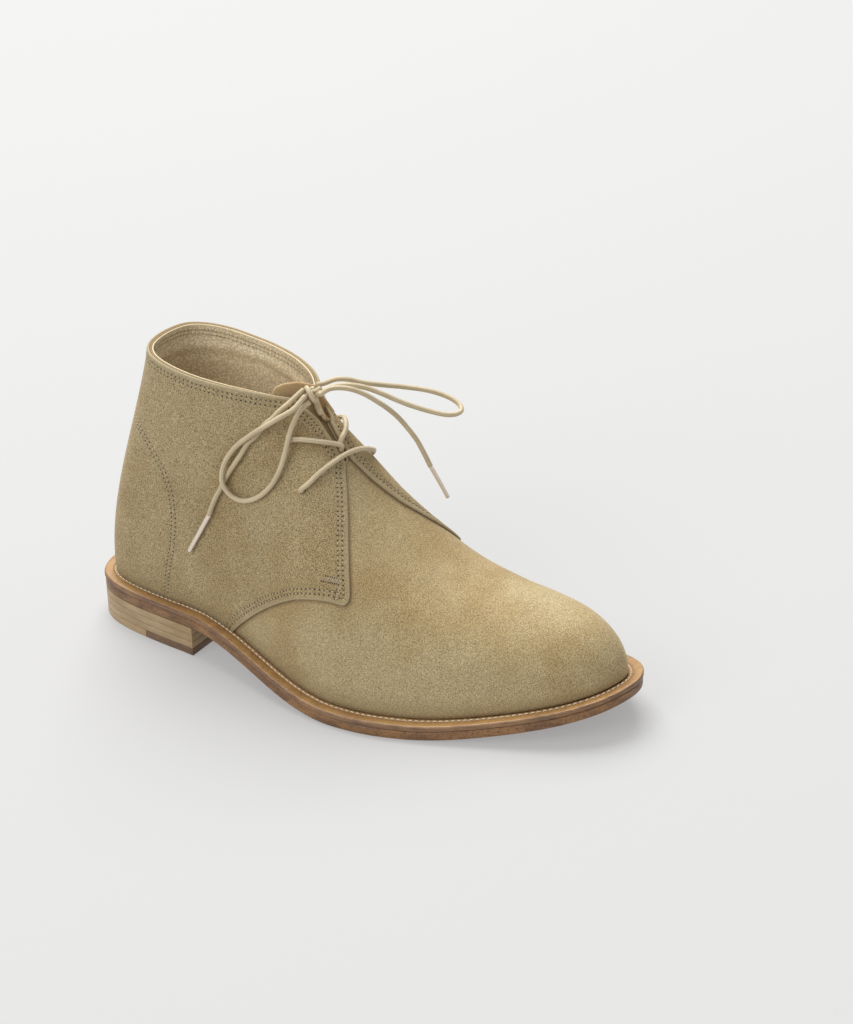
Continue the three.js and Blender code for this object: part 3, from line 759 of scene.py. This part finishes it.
def dented(distance, rows, wide=0.5, deep=0.3):
    """How much a leather's face sinks along its rows of stitches."""
    return sum(-deep * np.exp(-((distance - row) / wide) ** 2) for row in rows)


def threads(places, normals, diameter, lift=0.22, sides=6, bead=5):
    """Stitches from places[0] to places[1], each an arched bead of thread that dives in at both ends."""
    start, end = places
    t = np.linspace(0, 1, bead)[:, None, None]
    arch = lift * np.sin(math.pi * t) ** 0.6 - 0.06 - 0.2 * np.abs(2 * t - 1) ** 6
    centre = start[None] * (1 - t) + end[None] * t + normals[None] * arch
    along = unit(end - start)
    side = unit(np.cross(along, normals))
    up_from = np.cross(side, along)
    angles = np.arange(sides)[:, None] * 2 * math.pi / sides
    radius = diameter / 2 * np.where(np.abs(2 * t - 1) > 0.9, 0.55, 1.0)
    ring = centre[:, :, None] + radius[..., None] * (
        np.cos(angles) * side[None, :, None] + np.sin(angles) * up_from[None, :, None])
    one = [face[::-1] for face in bands(bead, sides)]
    one.append(tuple(range(sides)))
    one.append(tuple((bead - 1) * sides + i for i in range(sides))[::-1])
    faces = [tuple(k * bead * sides + i for i in face) for k in range(len(start)) for face in one]
    return ring.transpose(1, 0, 2, 3).reshape(-1, 3), faces


def stitches_on(table, distance, along, row, inward):
    """Ends and normals of the stitches in one row, which lies along the skin's points at that distance."""
    on = np.where(np.abs(distance - row) < 2e-4)[0]
    on = on[np.argsort(along[on])]
    at = np.arange(math.ceil(along[on[0]] / STITCH), math.floor(along[on[-1]] / STITCH) + 1) * STITCH
    place = np.stack([np.interp(at, along[on], table[on, k]) for k in range(6)], 1)
    a, b = place[:-1], place[1:]
    good = np.abs(np.linalg.norm(b[:, :3] - a[:, :3], axis=1) - STITCH) < 0.45 * STITCH
    a, b = a[good], b[good]
    trim = 0.12
    start, end = a[:, :3] * (1 - trim) + b[:, :3] * trim, b[:, :3] * (1 - trim) + a[:, :3] * trim
    normal = unit(a[:, 3:6] + b[:, 3:6])
    return start, end, -normal if inward else normal


def rows_of_stitches(table, rows, inward=False):
    """Starts, ends and normals of the stitches in rows of (column of distances, distance)."""
    parts = [stitches_on(table, table[:, column], table[:, column + 1], row, inward) for column, row in rows]
    return [np.vstack([part[k] for part in parts]) for k in range(3)]


def suede(name, tone, grain, rows=(), counter=False, shaded=False, worn=False):
    """Brushed suede: khaki with darker, browner clouds, a fine nap, and rubbed, paler edges."""
    made, tree, shader = dress(name, (0.40, 0.32, 0.185), 0.95, Sheen_Weight=0.16, Sheen_Roughness=0.4,
                               Sheen_Tint=(1.0, 0.93, 0.78, 1), Specular_IOR_Level=0.15)
    cloud = spread(tree, noise(tree, 46, 3, rough=0.5), 0.36, 0.64)
    patch = spread(tree, noise(tree, 17, 3, rough=0.5), 0.38, 0.72)
    nap = noise(tree, 0.3, 1, rough=0.8)
    fibre = noise(tree, 0.56, 1, rough=0.6)
    colour = blend(tree, cloud, (0.375, 0.272, 0.135), (0.440, 0.350, 0.198))
    colour = blend(tree, spread(tree, patch, 0, 1, 0, 0.35), colour, (0.475, 0.378, 0.212))
    speckle = maths(tree, "ADD", maths(tree, "MULTIPLY", nap, 0.4), maths(tree, "MULTIPLY", fibre, 0.6))
    dark = tuple(tone * (1 - grain * c) for c in (1.0, 1.04, 1.12))
    shade = blend(tree, spread(tree, speckle, 0.36, 0.64), dark, (tone * (1 + grain),) * 3)
    colour = blend(tree, 1.0, colour, shade, "MULTIPLY")
    if rows:
        edge, along = attribute(tree, "edge"), attribute(tree, "along")
        rubbed = spread(tree, edge, 0.3, 2.3, 0.62, 0.0)
        colour = blend(tree, rubbed, colour, tuple(tone * c for c in (0.54, 0.45, 0.29)))
        # The needle holes are painted near-black, as painted shade in the holes.
        colour = blend(tree, holes(tree, edge, along, rows), colour, (0.07, 0.05, 0.026))
    if counter:
        # The counter's needle holes are painted near-black, as painted shade in the holes.
        found = holes(tree, attribute(tree, "counter"), attribute(tree, "counter_along"), COUNTER_ROWS)
        colour = blend(tree, found, colour, (0.06, 0.043, 0.022))
    if shaded:
        # A painted shadow darkens the suede along the edge of what laps over it.
        lap_shadow = spread(tree, attribute(tree, "edge"), -2.6, -0.3, 0.0, 0.6)
        colour = blend(tree, lap_shadow, colour, (0.20, 0.13, 0.065))
    level = attribute(tree, "level")
    # The suede is darker towards its foot at the welt.
    colour = blend(tree, spread(tree, level, 0.0, 0.10, 0.45, 0.0), colour, (0.26, 0.19, 0.095))
    if worn:
        colour = blend(tree, spread(tree, level, 0.985, 1.02, 0.0, 0.75), colour, (0.50, 0.335, 0.18))
    link(tree, colour, shader.inputs["Base Color"])
    relief(tree, shader, speckle, 0.22, 0.6)
    relief(tree, shader, noise(tree, 9, 3), 0.6, 0.22)
    return made


def holes(tree, distance, along, rows):
    """1 in the needle holes between the stitches of some rows, and 0 elsewhere."""
    off = maths(tree, "POWER", maths(tree, "PINGPONG", along, STITCH / 2), 2.0)
    found = None
    drawn = spread(tree, noise(tree, 2.1, 1), 0.3, 0.6, 0.65, 1.0)
    for row in rows:
        across = maths(tree, "POWER", maths(tree, "SUBTRACT", distance, row), 2.0)
        here = spread(tree, maths(tree, "SQRT", maths(tree, "ADD", off, across)), 0.26, 0.68, 1.0, 0.0)
        found = here if found is None else maths(tree, "MAXIMUM", found, here)
    return maths(tree, "MULTIPLY", found, drawn)


def sewing_thread():
    """Khaki cotton thread, a little paler than the suede, with its twist as a fleck."""
    made, tree, shader = dress("sewing_thread", (0.42, 0.35, 0.23), 0.6, Sheen_Weight=0.1)
    twist = spread(tree, noise(tree, 0.5, 1), 0.35, 0.65)
    link(tree, blend(tree, twist, (0.33, 0.27, 0.165), (0.50, 0.42, 0.29)), shader.inputs["Base Color"])
    return made


skin, skin_faces = wall()
quarter_line = soften(free_edge(skin, skin_faces, quarter_field(skin[:, :3])))
far, along = beside(skin[:, :3], quarter_line)
inward = np.where(quarter_field(skin[:, :3]) > 0, far, -far)
counter_line = soften(free_edge(skin, skin_faces, counter_field(skin[:, :3])))
counter_far, counter_along = beside(skin[:, :3], counter_line)
counter_in = np.where(counter_field(skin[:, :3]) > 0, counter_far, -counter_far)
skin = np.concatenate([skin, np.stack([inward, along, counter_in, counter_along], 1)], 1)

for distance in (ROLL, 1.5, 2.4, 3.0, 3.6, 4.1, 4.6, 5.2, 5.8, 7.0):
    skin, skin_faces, _ = split(skin, skin_faces, skin[:, 7] - distance, 0.12)
for distance in (-1.9, -1.2, -0.5, 0.5, 1.2, 1.9):
    skin, skin_faces, _ = split(skin, skin_faces, skin[:, 9] - distance, 0.12)


def lace_hole_gap(points):
    """How far each point is outside the nearest punched hole."""
    nearest = np.full(len(points), 50.0)
    for at, out in LACE_HOLES:
        out = unit(np.array(out))
        off = points - np.array(at)
        deep = off @ out
        away = np.linalg.norm(off - deep[:, None] * out, axis=1) - HOLE_RADIUS
        nearest = np.where(np.abs(deep) < 8, np.minimum(nearest, away), nearest)
    return nearest


def punched(table, faces):
    """Cuts spokes and rings into a skin round each lace hole, so that its rim is round."""
    for at, out in LACE_HOLES:
        out = Vector(out).normalized()
        first = np.array(out.orthogonal().normalized())
        second = np.cross(np.array(out), first)
        for spoke in range(5):
            angle = math.pi * spoke / 5 + 0.2
            off = table[:, :3] - np.array(at)
            field = off @ (first * math.cos(angle) + second * math.sin(angle))
            table, faces, _ = split(table, faces, np.where(np.linalg.norm(off, axis=1) < 6, field, 50.0))
        for ring in (0.0, 0.7, 1.8):
            table, faces, _ = split(table, faces, lace_hole_gap(table[:, :3]) - ring)
    return table, faces


thread_material = sewing_thread()
# Needle holes are drawn as sunk beads of a near-black material, which is painted shade in the holes.
hole_shade_material = dress("needle_hole_shade", (0.05, 0.036, 0.018), 0.9)[0]
# The quarters' tone of 0.80, below the vamp's 0.93, is painted shade that darkens the boot's sides against
# its top.
quarter_material = suede("quarter_suede", 0.80, 0.46, EDGE_ROWS, counter=True)
skin, skin_faces = punched(skin, skin_faces)
hole_gap = lace_hole_gap(skin[:, :3])
swell = 0.30 * np.exp(-((skin[:, 7] - 1.5) / 1.1) ** 2) + 0.20 * np.exp(-((skin[:, 7] - 4.1) / 0.8) ** 2)
quarter_outer = swell + dented(skin[:, 7], EDGE_ROWS) + dented(skin[:, 9], COUNTER_ROWS, 0.6, 0.22)
quarter_faces = skin_faces[(skin[skin_faces, 7].mean(1) > ROLL) & (hole_gap[skin_faces].mean(1) > 0)]
points, faces, source = sheet_of_leather(
    skin, quarter_faces, skin[:, 7] < ROLL + 0.2, quarter_outer, -LEATHER, ROLL)
quarters = piece(
    "quarters", points, faces, quarter_material, "suede", edge=skin[source, 7], along=skin[source, 8],
    counter=skin[source, 9], counter_along=skin[source, 10], level=skin[source, 6])
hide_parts("upper")

raised = skin.copy()
raised[:, :3] += skin[:, 3:6] * quarter_outer[:, None]
used = np.unique(quarter_faces)
on_quarters = raised[used]
edge_rows, counter_rows = [(7, row) for row in EDGE_ROWS], [(9, row) for row in COUNTER_ROWS]
starts, ends, normals = rows_of_stitches(on_quarters, edge_rows + counter_rows)
points, faces = threads((starts, ends), normals, THREAD)
piece("quarter_stitches", points, faces, thread_material, "suede")


def on_leather(places):
    """The nearest points of the quarters' outer face, as places and normals."""
    tree = finder(on_quarters[:, :3])
    found = []
    for place in places:
        near = tree.find_n(place, 4)
        weight = np.array([1 / (gap + 0.05) for _, _, gap in near])
        rows = on_quarters[[k for _, k, _ in near]]
        mean = (rows * weight[:, None]).sum(0) / weight.sum()
        normal = unit(mean[3:6])
        found.append(np.concatenate([place - normal * ((place - mean[:3]) @ normal), normal]))
    return np.array(found)


# The bar tacks, which take the strain at each quarter's front corner: a bar of slanted stitches, and a zigzag
# from it down to the lower edge. Each is a line with its width, its count of stitches, and if it zigzags.
TACKS = {
    "lateral": [
        ((156.2, -42.4, 66.9), (165.6, -42.6, 66.9), 2.4, 9, False),
        ((165.4, -43.2, 65.6), (165.4, -47, 59.8), 2.0, 6, True),
    ],
    "medial": [
        ((167, 38, 69.3), (178.6, 35, 69), 2.4, 9, False),
        ((178.6, 36, 67.8), (179.4, 40, 61.8), 2.0, 6, True),
    ],
}
TACK_HOLE = 0.72
for side, lines in TACKS.items():
    starts, ends = [], []
    for first, last, wide, count, zigzag in lines:
        first, last = np.array(first, float), np.array(last, float)
        across = unit(np.cross(on_leather([(first + last) / 2])[0, 3:6], last - first)) * wide / 2
        for k in range(count):
            a, b = first + (last - first) * k / count, first + (last - first) * (k + 1) / count
            back_again = zigzag and k % 2
            starts.append(a + across if back_again else a - across)
            ends.append(b - across * 0.9 if back_again else b + across)
    seats, tops = on_leather(starts), on_leather(ends)
    normals = unit(seats[:, 3:6] + tops[:, 3:6])
    points, faces = threads((seats[:, :3], tops[:, :3]), normals, THREAD * 1.15)
    piece(f"bar_tack_{side}", points, faces, thread_material, "suede")
    # Each stitch end gets a short sunk bead of that material, as painted shade in its hole.
    pits = np.vstack([seats, tops])
    ahead = unit(np.vstack([tops[:, :3] - seats[:, :3], seats[:, :3] - tops[:, :3]]))
    low = pits[:, :3] - pits[:, 3:6] * 0.12
    points, faces = threads((low - ahead * 0.5, low + ahead * 0.2), pits[:, 3:6], TACK_HOLE, 0.1)
    piece(f"tack_hole_shade_{side}", points, faces, hole_shade_material, "suede")


# The vamp. One seamless piece of the same suede, from under the quarters' edges to the toe, pulled down all
# round to the welt.
VAMP_OUTER, VAMP_INNER = -1.2, -2.2
VAMP_LAP = 14.0

# The vamp's tone of 0.93, above the quarters' 0.80, is painted light on the boot's top.
vamp_material = suede("vamp_suede", 0.93, 0.36, shaded=True)
reach = np.minimum(VAMP_LAP - skin[:, 7], -throat_field(skin[:, :3]))
vamp_skin, vamp_faces, vamp_reach = split(skin, skin_faces, reach, 0.3)
vamp_faces = vamp_faces[vamp_reach[vamp_faces].mean(1) > 0]
points, faces, source = sheet_of_leather(
    vamp_skin, vamp_faces, np.zeros(len(vamp_skin), bool), VAMP_OUTER, VAMP_INNER, 0.0)
piece("vamp", points, faces, vamp_material, "suede",
      level=vamp_skin[source, 6], edge=vamp_skin[source, 7])


# The lining. Pale grained leather that backs the whole upper and is turned over at the collar, where two rows
# of the quarters' stitches come through.
LINING_OUTER, LINING_INNER = -2.35, -2.95
COLLAR_LOW = 112
CREASE_DEPTH = 15
PEBBLES_PER_METRE = 900


def lining_leather(name, colour, deep, stitched=False):
    """Pale grained leather with a fine pebble. Where stitched, it has needle holes and a cream cut edge."""
    made, tree, shader = dress(name, colour, 0.62, Sheen_Weight=0.08)
    pebble = tree.nodes.new("ShaderNodeTexVoronoi")
    where = tree.nodes.new("ShaderNodeTexCoord")
    pebble.inputs["Scale"].default_value = PEBBLES_PER_METRE
    link(tree, where.outputs["Object"], pebble.inputs["Vector"])
    cloud = spread(tree, noise(tree, 30, 4), 0.3, 0.7)
    grain = spread(tree, pebble.outputs["Distance"], 0.15, 0.75)
    tone = blend(tree, cloud, deep, colour)
    tone = blend(tree, spread(tree, grain, 0, 1, 0.0, 0.55), tone, tuple(c * 0.45 for c in deep))
    if stitched:
        edge, along = attribute(tree, "edge"), attribute(tree, "along")
        # The needle holes are painted dark, as painted shade in the holes.
        pits = maths(tree, "MULTIPLY", holes(tree, edge, along, EDGE_ROWS), 0.75)
        tone = blend(tree, pits, tone, (0.12, 0.085, 0.045))
        tone = blend(tree, spread(tree, edge, 0.35, 0.95, 0.9, 0.0), tone, (0.80, 0.66, 0.44))
    link(tree, tone, shader.inputs["Base Color"])
    relief(tree, shader, grain, 0.25, -0.6)
    relief(tree, shader, noise(tree, 16, 2), 1.2, 0.35)
    return made


# Its colour is pale leather, painted brighter still as painted light inside the boot's shaft.
lining_material = lining_leather("lining_leather", (0.92, 0.77, 0.52), (0.82, 0.66, 0.42), True)
lining_field = -throat_field(skin[:, :3])
lining_line = soften(free_edge(skin, skin_faces, lining_field))
far, _ = beside(skin[:, :3], lining_line)
lining_in = np.where(lining_field > 0, far, -far)
lining_skin, lining_faces, lining_in = split(skin, skin_faces, lining_in - 0.3, 0.15)
lining_gap = lace_hole_gap(lining_skin[:, :3])
lining_faces = lining_faces[(lining_in[lining_faces].mean(1) > 0) & (lining_gap[lining_faces].mean(1) > 0)]
# A soft crease runs round under the collar, where the lining folds over the top of the heel counter.
below = lining_skin[:, 7] - CREASE_DEPTH - 2 * np.sin(lining_skin[:, 0] / 17)
high_up = np.clip((lining_skin[:, 2] - COLLAR_LOW) / 8, 0, 1)
crease = high_up * (1.1 * np.exp(-((below + 3.5) / 3.2) ** 2) - 0.9 * np.exp(-(below / 1.5) ** 2))
points, faces, source = sheet_of_leather(
    lining_skin, lining_faces, lining_in < 0.2, LINING_OUTER, LINING_INNER - crease, 0.3)
piece("lining", points, faces, lining_material, "lining",
      edge=lining_skin[source, 7], along=lining_skin[source, 8])

inner = skin.copy()
inner[:, :3] += skin[:, 3:6] * (LINING_INNER - 0.02)
starts, ends, normals = rows_of_stitches(inner[used], edge_rows, True)
above = starts[:, 2] > COLLAR_LOW
points, faces = threads((starts[above], ends[above]), normals[above], THREAD * 0.9)
piece("lining_stitches", points, faces, thread_material, "suede")


# The tongue. A doubled piece of the suede that lies against the lining, under both quarters and across the
# throat. It has slid over to the lateral side, where its rubbed top corner stands just above the collar.
TONGUE_OUTER, TONGUE_INNER = -3.5, -5.3
TONGUE_ROLL = 0.8
TONGUE_FACE = [
    (-17, 80), (10, 80), (14.3, 134), (13, 137), (8, 139.7), (0, 141.7), (-8, 145.7), (-14, 145.8),
    (-17, 144.2), (-19.6, 138), (-19, 130),
]

tongue_material = suede("tongue_suede", 0.85, 0.36, worn=True)
tall, tall_faces = wall(rise=12.0)
tongue_in = np.where(tall[:, 0] > 100, inside_of(tall[:, [1, 2]], TONGUE_FACE), -50.0)
tall, tall_faces, tongue_in = split(tall, tall_faces, tongue_in - TONGUE_ROLL, 0.3)
tongue_faces = tall_faces[tongue_in[tall_faces].mean(1) > 0]
points, faces, source = sheet_of_leather(
    tall, tongue_faces, np.ones(len(tall), bool), TONGUE_OUTER, TONGUE_INNER, TONGUE_ROLL)
tongue = piece("tongue_leaf", points, faces, tongue_material, "suede", level=tall[source, 6])
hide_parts("tongue")


# The insole. A pale grained leather sock glued over the footbed, which fills the ring of the welt and stands
# a little above it, with its upper arris rounded.
INSOLE_TOP = 2.2
INSOLE_INSET = 9.9


def swept(profile, closed=False):
    """A band round the sole from a profile of (inset, height over the underside) points."""
    rings = []
    for inset, z in profile:
        edge = outline(inset)[0]
        rings.append(np.column_stack([edge, underside(edge[:, 0]) + z]))
    n = len(rings[0])
    return np.vstack(rings), bands(len(rings), n, closed), n


def plate(profile, across=24):
    """A closed plate of the sole, whose profile runs from its lower face round the edge to its upper one."""
    edges, faces, n = swept(profile)
    points, count, half = [edges], len(edges), n // 2
    lateral, medial = np.arange(half + 1), (-np.arange(half + 1)) % n
    for ring in (0, len(profile) - 1):
        edge = edges[ring * n:(ring + 1) * n]
        before = lateral + ring * n
        for k in range(1, across + 1):
            now = medial + ring * n
            if k < across:
                points.append((edge[lateral] * (1 - k / across) + edge[medial] * k / across)[1:-1])
                now = np.concatenate([[ring * n], count + np.arange(half - 1), [ring * n + half]])
                count += half - 1
            for i in range(half):
                quad = [before[i], before[i + 1], now[i + 1], now[i]]
                quad = [q for m, q in enumerate(quad) if q not in quad[:m]]
                if len(quad) > 2:
                    faces.append(tuple(quad if ring else quad[::-1]))
            before = now
    return np.vstack(points), [face[::-1] for face in faces]


sock_material = lining_leather("sock_leather", (0.60, 0.47, 0.30), (0.48, 0.36, 0.215))
top = OUTSOLE + WELT + INSOLE_TOP
points, faces = plate([
    (INSOLE_INSET, OUTSOLE + 0.4), (INSOLE_INSET, top - 0.5), (INSOLE_INSET + 0.15, top - 0.15),
    (INSOLE_INSET + 0.5, top),
])
insole = piece("insole_sock", points, faces, sock_material, "lining")
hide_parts("insole")


# The welt. A strip of waxed orange-tan leather round the whole boot, with its outer edge rounded and stained
# brown, and a groove at the upper's foot that holds a row of pale stitches.
WELT_PITCH = 2.9
WELT_THREAD = 0.62
WELT_ROW = 5.95


def edge_leather(name, light, dark, mottle, rough=0.42, streak=9.0, side=None):
    """Stained, waxed edge leather: mottled, with fine layers along the edge and darker burnished spots.

    Where a side is given, the piece's side has those light and dark colours instead.
    """
    made, tree, shader = dress(name, light, rough, Coat_Weight=0.12, Coat_Roughness=0.35)
    blotch = spread(tree, noise(tree, 7, 4, (2.2, 2.2, 1), rough=0.65), 0.32, 0.68)
    spots = spread(tree, noise(tree, 1.1, 3, rough=0.7), 0.46, 0.66)
    layers = spread(tree, noise(tree, 0.5, 2, (streak * 4, streak * 4, 1)), 0.3, 0.7)
    if side:
        flank = spread(tree, attribute(tree, "side"), 0.3, 0.7)
        light_socket, dark_socket = blend(tree, flank, light, side[0]), blend(tree, flank, dark, side[1])
    else:
        light_socket, dark_socket = light, dark
    colour = blend(tree, blotch, dark_socket, light_socket)
    colour = blend(tree, spread(tree, spots, 0, 1, 0, mottle), colour, tuple(c * 0.42 for c in dark))
    colour = blend(tree, spread(tree, layers, 0, 1, 0, 0.22), colour, tuple(min(1, c * 1.3) for c in light))
    link(tree, colour, shader.inputs["Base Color"])
    link(tree, spread(tree, blotch, 0, 1, rough + 0.12, rough - 0.06), shader.inputs["Roughness"])
    relief(tree, shader, layers, 0.10, 0.5)
    relief(tree, shader, spots, 0.12, -0.4)
    return made


welt_material = edge_leather("welt_leather", (0.40, 0.225, 0.078), (0.27, 0.135, 0.045), 0.45,
                             side=((0.235, 0.12, 0.056), (0.095, 0.05, 0.034)))
low, high = OUTSOLE + 0.1, OUTSOLE + WELT
points, faces, ring = swept([
    (9.2, low), (0.55, low), (0.14, low + 0.25), (0.0, low + 0.8), (0.0, high - 1.15), (0.16, high - 0.6),
    (0.5, high - 0.22), (1.05, high - 0.04), (2.6, high), (4.3, high - 0.02), (4.75, high - 0.18),
    (5.0, high - 0.5), (5.75, high - 0.5), (6.0, high - 0.2), (6.4, high - 0.05), (9.2, high - 0.05),
], closed=True)
flank = np.repeat([0, 1, 1, 1, 1, 0.9, 0.5, 0.2, 0, 0, 0, 0, 0, 0, 0, 0], ring)
welt = piece("welt_strip", points, faces, welt_material, "welt", side=flank)
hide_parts("welt")

row = outline(WELT_ROW)[0]
row = np.vstack([row, row[:1]])
line = soften(np.column_stack([row, underside(row[:, 0]) + high - 0.42]), 1, 0.5)
run = run_of(line)
count = round(run[-1] / WELT_PITCH)
at = np.linspace(0, run[-1], count + 1)
ends_at = [np.stack([np.interp(np.clip(at[:-1] + shift, 0, run[-1]), run, line[:, k]) for k in range(3)], 1)
           for shift in (0.3, WELT_PITCH - 0.3)]
pale_thread = dress("welt_thread", (0.74, 0.66, 0.50), 0.6)[0]
points, faces = threads(ends_at, np.tile((0.0, 0.0, 1.0), (count, 1)), WELT_THREAD, 0.34)
piece("welt_stitches", points, faces, pale_thread, "welt")


# The outsole. Thick sole leather, stained brown on its side, trimmed a little under the welt and rounded at
# the tread. Its underside is the same stained leather as its side.
SOLE_TRIM = 0.35

sole_material = edge_leather("sole_edge_leather", (0.29, 0.14, 0.048), (0.125, 0.058, 0.024), 0.7)
points, faces = plate([
    (SOLE_TRIM + 1.3, 0.0), (SOLE_TRIM + 0.5, 0.12), (SOLE_TRIM + 0.12, 0.5), (SOLE_TRIM, 1.1),
    (SOLE_TRIM, OUTSOLE - 0.9), (SOLE_TRIM + 0.15, OUTSOLE - 0.35), (SOLE_TRIM + 0.7, OUTSOLE),
])
outsole = piece("outsole_plate", points, faces, sole_material, "sole_edge")
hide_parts("outsole")


# The heel. Three lifts of natural leather under the heel seat, and a top piece that is brown leather in front
# and pale rubber behind, trimmed flush and cut square at the breast.
TOP_PIECE = 3.9
TOP_SPLIT_X = 41.0
HEEL_REAR = -10
SEAM, ARRIS = 0.1, 0.28


def lift(name, replaced, low, high, min_x, max_x, material, slot):
    """One lift, cut from the heel's outline between two places, with its arrises just broken."""
    edge = outline(SOLE_TRIM)[0]
    lateral = edge[:len(edge) // 2 + 1]
    medial = np.vstack([edge[:1], edge[len(edge) // 2:][::-1]])

    def side(points):
        order = np.argsort(points[:, 0], kind="stable")
        x = points[order, 0]
        inside = (x > min_x + 0.2) & (x < max_x - 0.2)
        ends = [np.array([[e, np.interp(e, x, points[order, 1])]]) for e in (max(min_x, x[0]), max_x)]
        return np.vstack([ends[0], points[order][inside], ends[1]])

    ring = np.vstack([side(lateral), side(medial)[::-1]])
    ring = ring[np.linalg.norm(ring - np.roll(ring, 1, 0), axis=1) > 0.05]
    face = tuple(range(len(ring)))[::-1]
    bpy.ops.object.select_all(action="DESELECT")
    made = piece(name, np.column_stack([ring, np.full(len(ring), low)]), [face], material, slot)
    bpy.context.view_layer.objects.active = made
    made.select_set(True)
    bpy.ops.object.mode_set(mode="EDIT")
    bpy.ops.mesh.select_all(action="SELECT")
    bpy.ops.mesh.extrude_region_move(TRANSFORM_OT_translate={"value": (0, 0, (high - low) * MM)})
    bpy.ops.mesh.select_all(action="SELECT")
    bpy.ops.mesh.normals_make_consistent(inside=False)
    bpy.ops.object.mode_set(mode="OBJECT")
    bevel = made.modifiers.new("arris", "BEVEL")
    bevel.width = ARRIS * MM
    bevel.segments = 2
    bevel.limit_method = "ANGLE"
    bevel.angle_limit = math.radians(50)
    bpy.ops.object.modifier_apply(modifier=bevel.name)
    bpy.ops.object.shade_smooth_by_angle(angle=math.radians(35))
    bpy.ops.object.select_all(action="DESELECT")
    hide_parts(replaced)


natural_material = edge_leather("natural_leather", (0.40, 0.285, 0.155), (0.31, 0.205, 0.10), 0.12, 0.5, 14.0)
brown_material = edge_leather("brown_leather", (0.20, 0.115, 0.06), (0.11, 0.06, 0.03), 0.3, 0.45)
rubber_material = edge_leather("pale_rubber", (0.40, 0.285, 0.155), (0.36, 0.25, 0.13), 0.04, 0.55, 3.0)
thick = (HEEL_HEIGHT - SEAM - TOP_PIECE) / 3
for k in range(3):
    low = TOP_PIECE + k * thick
    lift(f"heel_layer_{k + 1}", f"heel_lift_{k + 1}", low + SEAM, low + thick, HEEL_REAR, BREAST_X,
         natural_material, "heel_natural")
lift("heel_tip_front", "heel_top_front", 0, TOP_PIECE, TOP_SPLIT_X + SEAM, BREAST_X,
     brown_material, "heel_brown")
lift("heel_tip_rear", "heel_top_rear", 0, TOP_PIECE, HEEL_REAR, TOP_SPLIT_X, rubber_material, "heel_rubber")
